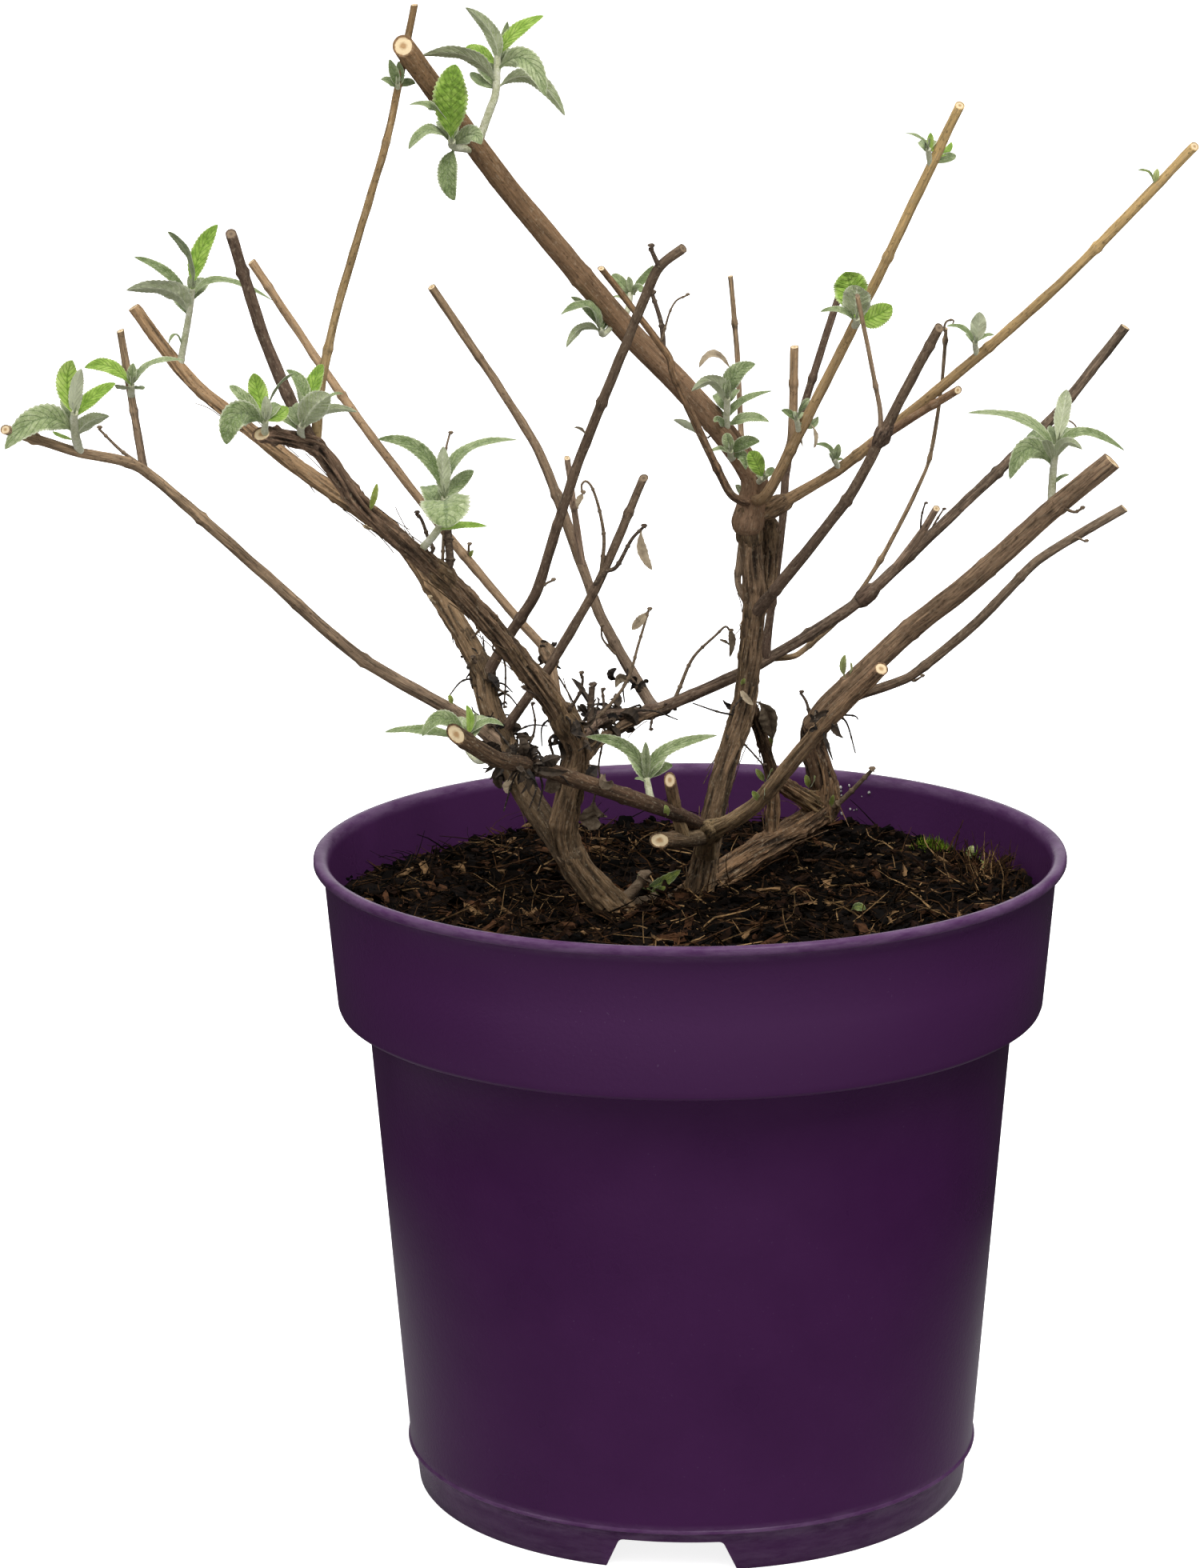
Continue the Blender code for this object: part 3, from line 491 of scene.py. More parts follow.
def apply_modifier(ob, kind, **settings):
    pick(ob)
    mod = ob.modifiers.new(kind.lower(), kind)
    for key, value in settings.items():
        setattr(mod, key, value)
    bpy.ops.object.modifier_apply(modifier=mod.name)


def join(name, pieces):
    start()
    for ob in pieces:
        ob.select_set(True)
    bpy.context.view_layer.objects.active = pieces[0]
    if len(pieces) > 1:
        bpy.ops.object.join()
    pieces[0].name = pieces[0].data.name = name
    return pieces[0]


def faces_outwards(ob):
    edit(ob)
    bpy.ops.mesh.select_all(action="SELECT")
    bpy.ops.mesh.remove_doubles(threshold=0.0001)
    bpy.ops.mesh.normals_make_consistent(inside=False)
    bpy.ops.object.mode_set(mode="OBJECT")


def smooth(ob, degrees):
    pick(ob)
    bpy.ops.object.shade_smooth_by_angle(angle=math.radians(degrees))


def settle(ob, slot, *nodes):
    """Put a piece modelled in millimetres into the frame, in place of its solids."""
    ob.data.transform(INTO_FRAME)
    ob.data.update()
    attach(ob, "root")
    if nodes:
        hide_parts(*nodes)
    return ob


def corners(ob):
    found = np.empty(len(ob.data.vertices) * 3)
    ob.data.vertices.foreach_get("co", found)
    return found.reshape(-1, 3)


def set_corners(ob, found):
    ob.data.vertices.foreach_set("co", np.asarray(found, np.float32).ravel())
    ob.data.update()


def add_values(ob, name, values):
    """Keep a number or a place for each corner of the mesh."""
    values = np.asarray(values, np.float32)
    kind, field = ("FLOAT_VECTOR", "vector") if values.ndim == 2 else ("FLOAT", "value")
    ob.data.attributes.new(name, kind, "POINT").data.foreach_set(field, values.ravel())


def plain_bark(ob, tones, grain=None):
    """What the bark finishes read, for a piece with no relief of its own."""
    found = corners(ob)
    add_values(ob, "grain", found if grain is None else grain)
    add_values(ob, "relief", np.zeros(len(found)))
    add_values(ob, "tone", tones)


def all_of(tone, points, share=1.0):
    """One tone, by a share of it, for each of the points."""
    return np.tile(np.array(tone[:3]) * share, (len(points), 1))


def array(vector):
    return np.array(tuple(vector))


def mesh_of(name, points, faces, *finishes):
    """A mesh made outright, for bits too many to place by hand."""
    mesh = bpy.data.meshes.new(name)
    mesh.from_pydata(np.asarray(points).tolist(), [], faces)
    ob = bpy.data.objects.new(name, mesh)
    bpy.context.scene.collection.objects.link(ob)
    for finish in finishes:
        mesh.materials.append(finish)
    return ob


# Pot and soil

def make_pot(finish):
    start()
    radius, height = POT_PROFILE[0]
    bpy.ops.mesh.primitive_circle_add(vertices=POT_SIDES, radius=radius, location=(0, 0, height))
    pot = name_piece("pot_shell", finish)
    edit(pot)
    bpy.ops.mesh.select_all(action="SELECT")
    for wide, high in POT_PROFILE[1:]:
        bpy.ops.mesh.extrude_edges_move(TRANSFORM_OT_translate={"value": (0, 0, high - height)})
        bpy.ops.transform.resize(value=(wide / radius, wide / radius, 1), center_override=(0, 0, 0))
        radius, height = wide, high
    bpy.ops.object.mode_set(mode="OBJECT")
    # the floor is closed on both faces
    for vert in pot.data.vertices:
        vert.select = math.hypot(vert.co.x, vert.co.y) < FLOOR_EDGE + 1
    edit(pot, "EDGE")
    bpy.ops.mesh.select_all(action="DESELECT")
    bpy.ops.mesh.select_non_manifold(extend=False)
    bpy.ops.mesh.fill_holes(sides=0)
    bpy.ops.object.mode_set(mode="OBJECT")
    faces_outwards(pot)
    # marks the inner wall above the soil, which the finish paints paler as painted light
    add_values(pot, "inside", [float(z > COLLAR_INSIDE and math.hypot(x, y) < wall_inside(z) + 0.6)
                               for x, y, z in corners(pot)])
    for cutter in notch_cutters() + drain_cutters():
        apply_modifier(pot, "BOOLEAN", operation="DIFFERENCE", solver="EXACT", object=cutter)
        bpy.data.objects.remove(cutter)
    smooth(pot, 40)
    settle(pot, "pot_plastic", "pot")


def wall_inside(high):
    """The radius of the pot's inner wall at a height."""
    (low_radius, low), (top_radius, top) = WALL_LOW, WALL_HIGH
    return low_radius + (top_radius - low_radius) * (high - low) / (top - low)


def notch_cutters():
    """Blocks, narrower at the top, that leave the notches in the foot."""
    cutters = []
    for k in range(NOTCHES):
        angle = math.radians(-90 + NOTCH_OFF_FRONT + 360 / NOTCHES * k)
        start()
        bpy.ops.mesh.primitive_cube_add(
            size=1, location=(NOTCH_CIRCLE * math.cos(angle), NOTCH_CIRCLE * math.sin(angle),
                              NOTCH_HEIGHT / 2 - 1),
            rotation=(0, 0, angle), scale=(NOTCH_DEPTH, NOTCH_FOOT, NOTCH_HEIGHT + 2))
        cutter = name_piece("notch_cutter")
        found = corners(cutter)
        along = np.array((-math.sin(angle), math.cos(angle), 0))
        high = found[:, 2] > 0
        found[high] -= np.outer((found[high] @ along) * (1 - NOTCH_TOP / NOTCH_FOOT), along)
        set_corners(cutter, found)
        apply_modifier(cutter, "BEVEL", width=NOTCH_ROUNDING, segments=3, limit_method="ANGLE")
        cutters.append(cutter)
    return cutters


def drain_cutters():
    cutters = []
    for k in range(DRAINS):
        angle = 2 * math.pi * (k + 0.5) / DRAINS
        start()
        bpy.ops.mesh.primitive_cylinder_add(
            vertices=32, radius=DRAIN_RADIUS, depth=20,
            location=(DRAIN_CIRCLE * math.cos(angle), DRAIN_CIRCLE * math.sin(angle), 12))
        cutters.append(name_piece("drain_cutter"))
    return cutters


def soil_height(x, y):
    bumps = math.sin(x / 17 + 1.1) * math.cos(y / 21 - 0.4) + 0.6 * math.sin((x - 2 * y) / 29)
    return SOIL_TOP + SOIL_BUMPS * bumps


def soil_surface(x, y):
    """The soil's crumbled top: the solid's bumps with lumps and grains on them."""
    place = Vector((x, y, 0))
    lumps = noise.noise(place / 9) * 1.6 + noise.noise(place / 4 + Vector((9, 3, 1))) * 1.1
    grains = noise.noise(place / 1.7) * 0.7
    return soil_height(x, y) + lumps + grains - 0.4


def make_soil(finish):
    """A plug of soil, closed below, whose top is worked into crumbs."""
    start()
    bpy.ops.mesh.primitive_circle_add(vertices=SOIL_SIDES, radius=SOIL_RADIUS,
                                      location=(0, 0, SOIL_TOP), fill_type="NGON")
    soil = name_piece("soil_fill", finish)
    edit(soil, "FACE")
    bpy.ops.mesh.select_all(action="SELECT")
    for _ in range(SOIL_RINGS):
        bpy.ops.mesh.inset(thickness=SOIL_RADIUS * 0.985 / SOIL_RINGS, depth=0)
    bpy.ops.object.mode_set(mode="OBJECT")
    found = corners(soil)
    for point in found:
        point[2] = soil_surface(point[0], point[1])
        off = math.hypot(point[0], point[1]) / SOIL_RADIUS
        if off > 0.97:
            point[2] -= 2.5 * (off - 0.97) / 0.03
    set_corners(soil, found)
    edit(soil, "EDGE")
    bpy.ops.mesh.select_all(action="DESELECT")
    bpy.ops.mesh.select_non_manifold(extend=False)
    bpy.ops.mesh.extrude_edges_move(TRANSFORM_OT_translate={"value": (0, 0, -12)})
    bpy.ops.mesh.fill_holes(sides=0)
    bpy.ops.object.mode_set(mode="OBJECT")
    faces_outwards(soil)
    smooth(soil, 60)
    settle(soil, "soil", "soil")


# Limbs

def smooth_route(points, step, ease=0.5):
    """Points about a step apart along a curve through the given ones, rounder for more ease."""
    given = [Vector(p) for p in points]
    ends = [2 * given[0] - given[1]] + given + [2 * given[-1] - given[-2]]
    fine = []
    for a, b, c, d in zip(ends, ends[1:], ends[2:], ends[3:]):
        for k in range(12):
            t = k / 12
            fine.append(b * (2 * t ** 3 - 3 * t * t + 1) + (c - a) * ease * (t ** 3 - 2 * t * t + t)
                        + c * (3 * t * t - 2 * t ** 3) + (d - b) * ease * (t ** 3 - t * t))
    fine.append(given[-1])
    length = sum((q - p).length for p, q in zip(fine, fine[1:]))
    return resample(fine, max(3, round(length / step) + 1))


def resample(route, count):
    steps = [0.0]
    for p, q in zip(route, route[1:]):
        steps.append(steps[-1] + (q - p).length)
    table = np.array([tuple(p) for p in route])
    at = np.linspace(0, steps[-1], count)
    return [Vector(p) for p in np.stack([np.interp(at, steps, table[:, k]) for k in range(3)], 1)]


def point_at(route, share):
    at = share * (len(route) - 1)
    low = min(int(at), len(route) - 2)
    return route[low].lerp(route[low + 1], at - low)


def nearest_on(route, point):
    return min(route, key=lambda p: (p - point).length)


def length_of(route):
    return sum((q - p).length for p, q in zip(route, route[1:]))


def limb_radii(route, foot, tip, flare):
    length = length_of(route)
    radii = []
    for k in range(len(route)):
        gone = length * k / (len(route) - 1)
        swelling = 1 + flare * math.exp(-gone / FLARE_REACH)
        radii.append((tip + (foot - tip) * max(0, 1 - gone / length) ** TAPER) / 2 * swelling)
    return radii


def swept(name, route, radii, sides, *finishes):
    """A round rod along a route: a path given a round bevel, made a mesh, with closed ends."""
    start()
    bpy.ops.curve.primitive_nurbs_path_add(enter_editmode=False, location=(0, 0, 0))
    ob = bpy.context.object
    curve = ob.data
    curve.splines.clear()
    spline = curve.splines.new("POLY")
    spline.points.add(len(route) - 1)
    spline.points.foreach_set("co", [c for p in route for c in (*p, 1)])
    spline.points.foreach_set("radius", radii)
    curve.bevel_depth = 1.0
    curve.bevel_resolution = sides // 2 - 2
    curve.twist_mode = "MINIMUM"
    bpy.ops.object.convert(target="MESH")
    rod = name_piece(name, *finishes)
    edit(rod, "EDGE")
    bpy.ops.mesh.select_all(action="DESELECT")
    bpy.ops.mesh.select_non_manifold(extend=False)
    bpy.ops.mesh.fill_holes(sides=0)
    bpy.ops.mesh.select_all(action="DESELECT")
    bpy.ops.object.mode_set(mode="OBJECT")
    return rod


def bark_relief(place, depth, shift):
    """How far the bark stands out, in millimetres, at a place along and round a limb."""
    along, x, y = place
    strand = noise.noise(Vector((along / 15, x / 1.2, y / 1.2)) + shift)
    split = noise.noise(Vector((along / 8, x / 0.65, y / 0.65)) + shift * 2)
    lump = noise.noise(Vector((along / 12, x / 4, y / 4)) + shift * 3)
    return depth * (0.7 * (0.5 - abs(strand) * 2.8) + 0.3 * split + 0.3 * lump)


def rounded_start(gone, radius):
    """A limb begins as a ball inside its parent."""
    share = min(1.0, gone / radius)
    return math.sqrt(max(0.02, 1 - (1 - share) ** 2))


def make_limb(name, route, foot, tip, flare, rng, depth, tones, finishes, spacing):
    """A limb with strands of bark, knots with paired nubs, and a pruned tip."""
    length = length_of(route)
    count = max(6, round(length / RING) + 1)
    sunk = min(foot * (1 + flare) / 2, 5.0)
    first = (route[1] - route[0]).normalized()
    fine = resample(route, count)
    lead = max(2, round(sunk / RING))
    fine = [fine[0] - first * sunk * (lead - k) / lead for k in range(lead)] + fine
    radii = limb_radii(fine[lead:], foot, tip, flare)
    radii = [radii[0]] * lead + radii
    at = np.concatenate([np.linspace(0, sunk, lead, endpoint=False),
                         sunk + np.linspace(0, length, count)])
    radii = [r * rounded_start(s, sunk) for r, s in zip(radii, at)]
    sides = SIDES_STOUT if foot >= STOUT else SIDES_SLIM
    ob = swept(name, fine, radii, sides, *finishes)
    found = corners(ob)
    sides = len(found) // len(fine)
    ring = np.arange(len(found)) // sides
    middle = np.array([tuple(p) for p in fine])[ring]
    out = found - middle
    radius = np.linalg.norm(out, axis=1)
    out /= radius[:, None]
    angle = 2 * math.pi * (np.arange(len(found)) % sides) / sides
    along = at[ring] - sunk
    shift = Vector([rng.uniform(0, 90) for _ in range(3)])
    turned = angle + along * rng.choice((-1, 1)) * 0.012 * depth
    grain = np.stack([along, radius * np.cos(turned), radius * np.sin(turned)], 1)
    relief = np.array([bark_relief(place, depth, shift) for place in grain])
    lift = relief.copy()
    nubs = []
    at_knot, turn = rng.uniform(*spacing) * 0.6, rng.uniform(0, 3)
    while at_knot < length - 4:
        size = rng.uniform(0.6, 1.0) * (0.2 + 0.04 * foot)
        lift += size * 0.6 * np.exp(-((along - at_knot) / 1.0) ** 2)
        # this dip reaches the colour alone, not the shape: the bark is painted darker in a band
        # just below each knot
        relief -= max(0.0, 0.5 - foot / 10) * np.exp(-((along - at_knot + 1.2) / 0.7) ** 2)
        for side in (0, math.pi):
            off = np.abs((angle - turn - side + math.pi) % (2 * math.pi) - math.pi) * radius
            lift += size * 1.1 * np.exp(-(off / 0.9) ** 2 - ((along - at_knot) / 1.1) ** 2)
        near = int(np.argmin(np.abs(along - at_knot) + 99 * (np.abs(angle - turn % 6.28) > 0.4)))
        nubs.append((Vector(found[near]), Vector(out[near]), size))
        at_knot += rng.uniform(*spacing)
        turn += math.pi / 2 + rng.uniform(-0.3, 0.3)
    ends = np.clip((length - along) / 1.5, 0, 1)
    found += out * (lift * ends)[:, None]
    # the pruned end is cut on a slant that looks up and forward
    last = array((fine[-1] - fine[-2]).normalized())
    look = np.array(CUTS_LOOK) + np.array([rng.uniform(-0.5, 0.5), 0, rng.uniform(-0.3, 0.3)])
    look -= last * (look @ last)
    reach = np.clip((along - (length - 2.5 * tip)) / (2.5 * tip), 0, 1) ** 2
    tilt = CUT_SLANTS.get(name[:-5], rng.uniform(0.3, 0.7) * min(1.0, np.linalg.norm(look)))
    look /= max(1e-6, np.linalg.norm(look))
    found -= np.outer(reach * tilt * (radius * (out @ look) + tip / 2), last)
    set_corners(ob, found)
    add_values(ob, "grain", grain + array(shift))
    add_values(ob, "relief", relief / max(depth, 0.75))
    share = np.clip(along / length, 0, 1)[:, None]
    low, high = (np.array(tone[:3]) for tone in tones)
    add_values(ob, "tone", low * (1 - share) + high * share)
    cut_face(ob, fine[-1], Vector(last) * tip, sides)
    return ob, nubs


def cut_face(ob, end, ahead, sides):
    """Work a limb's end into a rim of bark round bare wood."""
    face = min((f for f in ob.data.polygons if len(f.vertices) == sides),
               key=lambda f: (f.center - end).length)
    face.select = True
    centre, before = face.center.copy(), len(ob.data.vertices)
    edit(ob, "FACE")
    for step, size in CUT_RINGS:
        bpy.ops.mesh.extrude_region_move(TRANSFORM_OT_translate={"value": ahead * step})
        bpy.ops.transform.resize(value=(size,) * 3, center_override=centre)
    bpy.ops.object.mode_set(mode="OBJECT")
    for face in ob.data.polygons:
        face.material_index = int(min(face.vertices) >= before)
    inward = ob.data.attributes["relief"].data
    for number in range(before, len(inward)):
        inward[number].value = CUT_STEPS[(number - before) // sides]


def limb_kind(name):
    if name in TAN_LIMBS:
        return "tan"
    return "dark" if "dark" in name else "old"


def make_limbs(finishes):
    routes, bodies, nubs = {}, {"old": [], "dark": [], "tan": []}, []
    rng = random.Random(SEED)
    for name, (carrier, share, foot, tip, flare, bends) in LIMBS.items():
        points = list(bends)
        if carrier != "soil":
            points.insert(0, point_at(routes[carrier], share))
        if name in MEETS:
            points[-1] = nearest_on(routes[MEETS[name]], Vector(bends[-1]))
        route = smooth_route(points, RING, LIMB_EASE)
        routes[name] = route
        kind = limb_kind(name)
        old = name in OLD_WOOD
        depth = 1.0 if old else BARK_DEPTHS.get(name, 0.10 + 0.03 * foot)
        cut = kind if name in JOINED else "old_cut" if kind == "dark" else "cut"
        body, found = make_limb(name + "_body", route, foot, tip, flare, rng, depth,
                                tones_of(name), (finishes[kind], finishes[cut]),
                                KNOT_GAPS["aged" if old else kind])
        bodies[kind].append(body)
        nubs += [(place, out, size, tones_of(name)[0]) for place, out, size in found]
    for kind, parts in bodies.items():
        names = [n for n in LIMBS if limb_kind(n) == kind]
        whole = join(kind + "_limbs", parts)
        smooth(whole, 60)
        settle(whole, kind + "_bark", *names)
    return routes, nubs


def tones_of(name):
    """The bark's tone at a limb's foot and tip."""
    return next(tones for tones, names in TONES if name in names)


def make_knots(routes, finish):
    """Gnarled knots where old limbs fork, in the limb's own bark."""
    knots = []
    for limb, share, size in KNOTS:
        start()
        centre = point_at(routes[limb], share)
        axis = (point_at(routes[limb], min(1, share + 0.04))
                - point_at(routes[limb], max(0, share - 0.04))).normalized()
        bpy.ops.mesh.primitive_ico_sphere_add(subdivisions=4, radius=1, location=(0, 0, 0))
        knot = name_piece("knot", finish)
        found = corners(knot)
        shift = Vector((share * 40, size * 7, len(limb)))
        relief = np.array([0.6 - 2.2 * abs(noise.noise(Vector((p[0] * 1.1, p[1] * 4.2, p[2] * 4.2))
                                                        + shift)) for p in found])
        lumps = np.array([noise.noise(Vector(p) * 1.7 + shift) for p in found])
        found *= (0.92 + 0.09 * relief + 0.2 * lumps)[:, None]
        grain = found * size
        turn = axis.to_track_quat("X", "Z").to_matrix()
        found = (found * (size * 1.9, size, size)) @ np.array(turn).T
        set_corners(knot, found + array(centre))
        add_values(knot, "grain", grain)
        add_values(knot, "relief", relief * 0.8)
        add_values(knot, "tone", all_of(tones_of(limb)[0], found, 0.8))
        knots.append(knot)
    whole = join("knots", knots)
    smooth(whole, 60)
    settle(whole, "old_bark")

# Leaves

BLADE_ROWS, BLADE_LANES = 36, 8
SCRAP_ROWS, SCRAP_LANES = 14, 4
BROADER = 1.15  # for what folding and teeth take from a blade
# Which way a blade's upper face looks, by the first letter of its kind
FACINGS = {"f": (0, -0.95, 0.3), "b": (0, 0.95, 0.3), "t": (0, -0.65, 0.76), "u": (0, 0.8, 0.6),
           "l": (-0.85, -0.45, 0.3), "r": (0.85, -0.45, 0.3)}
# Folding along the midrib, place of the widest part, and age, by its second letter: felted,
# bright or pale
FOLDS = {"f": (0.34, 0.42, 0.4), "b": (0.22, 0.46, 0.5), "p": (0.75, 0.45, 0.85)}
# Leaves that the front ones hide: share of the stem, and how far they lean aside
BACK_LEAVES = ((0.62, -0.45), (0.8, 0.5), (0.9, 0.05))

# Stems of the shoots. name: limb, share of it, diameter at the foot and the tip / then steps
# from the foot
STEMS = {name: (limb, share, wide, slim, bends)
         for name, ((limb, share, wide, slim), *bends) in table("""
shoot_top_back: top_bough 0.78 2.7 2 / 3.5 1.1 9.4 / 5.6 2.5 15.1 / 6.1 3.8 21 / 6.2 5 26.5
shoot_top_front: top_bough 0.775 2.6 2.2 / -6.6 -7.3 1.5 / -7.2 -13 3.9
shoot_tall_tip: left_tall_shoot 0.81 1.6 1.3 / 0.2 -2 2.1
shoot_back_left: left_back_bough 0.895 2.4 1.9 / 2.5 -1.6 11.9 / 4.1 -3.3 19 / 5.2 -5 25.8
shoot_far_left: left_low_bough 0.87 2.9 2.2 / -0.5 -3.6 4.8 / -0.4 -7.2 9.6 / 0.1 -10 13.3
shoot_low_left: left_low_shoot 0.55 2.2 1.9 / 0.3 -2.2 2 / 0.6 -4 4.1
shoot_left_cut: left_stem 0.985 2.2 1.8 / 0.3 -2.7 2.1 / 0.7 -5 4.7
shoot_left_fork: left_stem 0.9 2.4 2 / 0.1 -5 3.5 / 0.9 -9 6
shoot_left_front: left_stem 0.66 2.4 2.2 / 6.1 -2.3 7.2 / 7.9 -4.1 12.2 / 8.7 -6 17.7
shoot_middle_left: top_bough 0.41 2 1.7 / -4.1 -2.7 -4.1 / -5.2 -5 -2.3
shoot_middle_back: top_bough 0.4 2 1.7 / 2.1 3.3 4.6 / 2.6 7 8
shoot_centre: top_bough 0.14 2.4 1.9 / -1.2 -2 4.4 / -1.2 -5.2 9.8 / -1 -8 14.6
shoot_centre_low: top_bough 0.12 2.2 1.8 / -2.1 -4.5 -1.2 / -2.4 -9 2
shoot_knot: top_bough 0.06 1.9 1.7 / 2.4 -8 3.4
shoot_right_round: right_tall_bough 0.485 2.4 2 / 0.5 -3.4 0.7 / 0.6 -6 3
shoot_right_top: right_tall_bough 0.855 2 1.6 / -0.7 -2.3 3.4 / -1 -4 5.5
shoot_right_long: right_long_bough 0.485 1.9 1.7 / -0.9 -2.3 3.4 / -1 -4 4.8
shoot_right_low: right_tall_bough 0.235 1.8 1.6 / -1 -4 4.8
shoot_right_mid: right_long_bough 0.175 1.8 1.6 / -1.8 -4 3.7
shoot_thick_bough: right_thick_bough 0.805 2.6 2.2 / 0.4 -1.5 11.3 / 0.7 -2.9 16.4 / 1.1 -4 20.8
shoot_front_left: front_left_bough 0.87 2.2 2 / -3.8 2.4 -1.7 / -6.6 5.2 0.5 / -7.2 8 3.9
shoot_front: front_left_bough 0.345 2.4 2 / -1.1 1.8 5 / -1.6 3 7.4
""").items()}
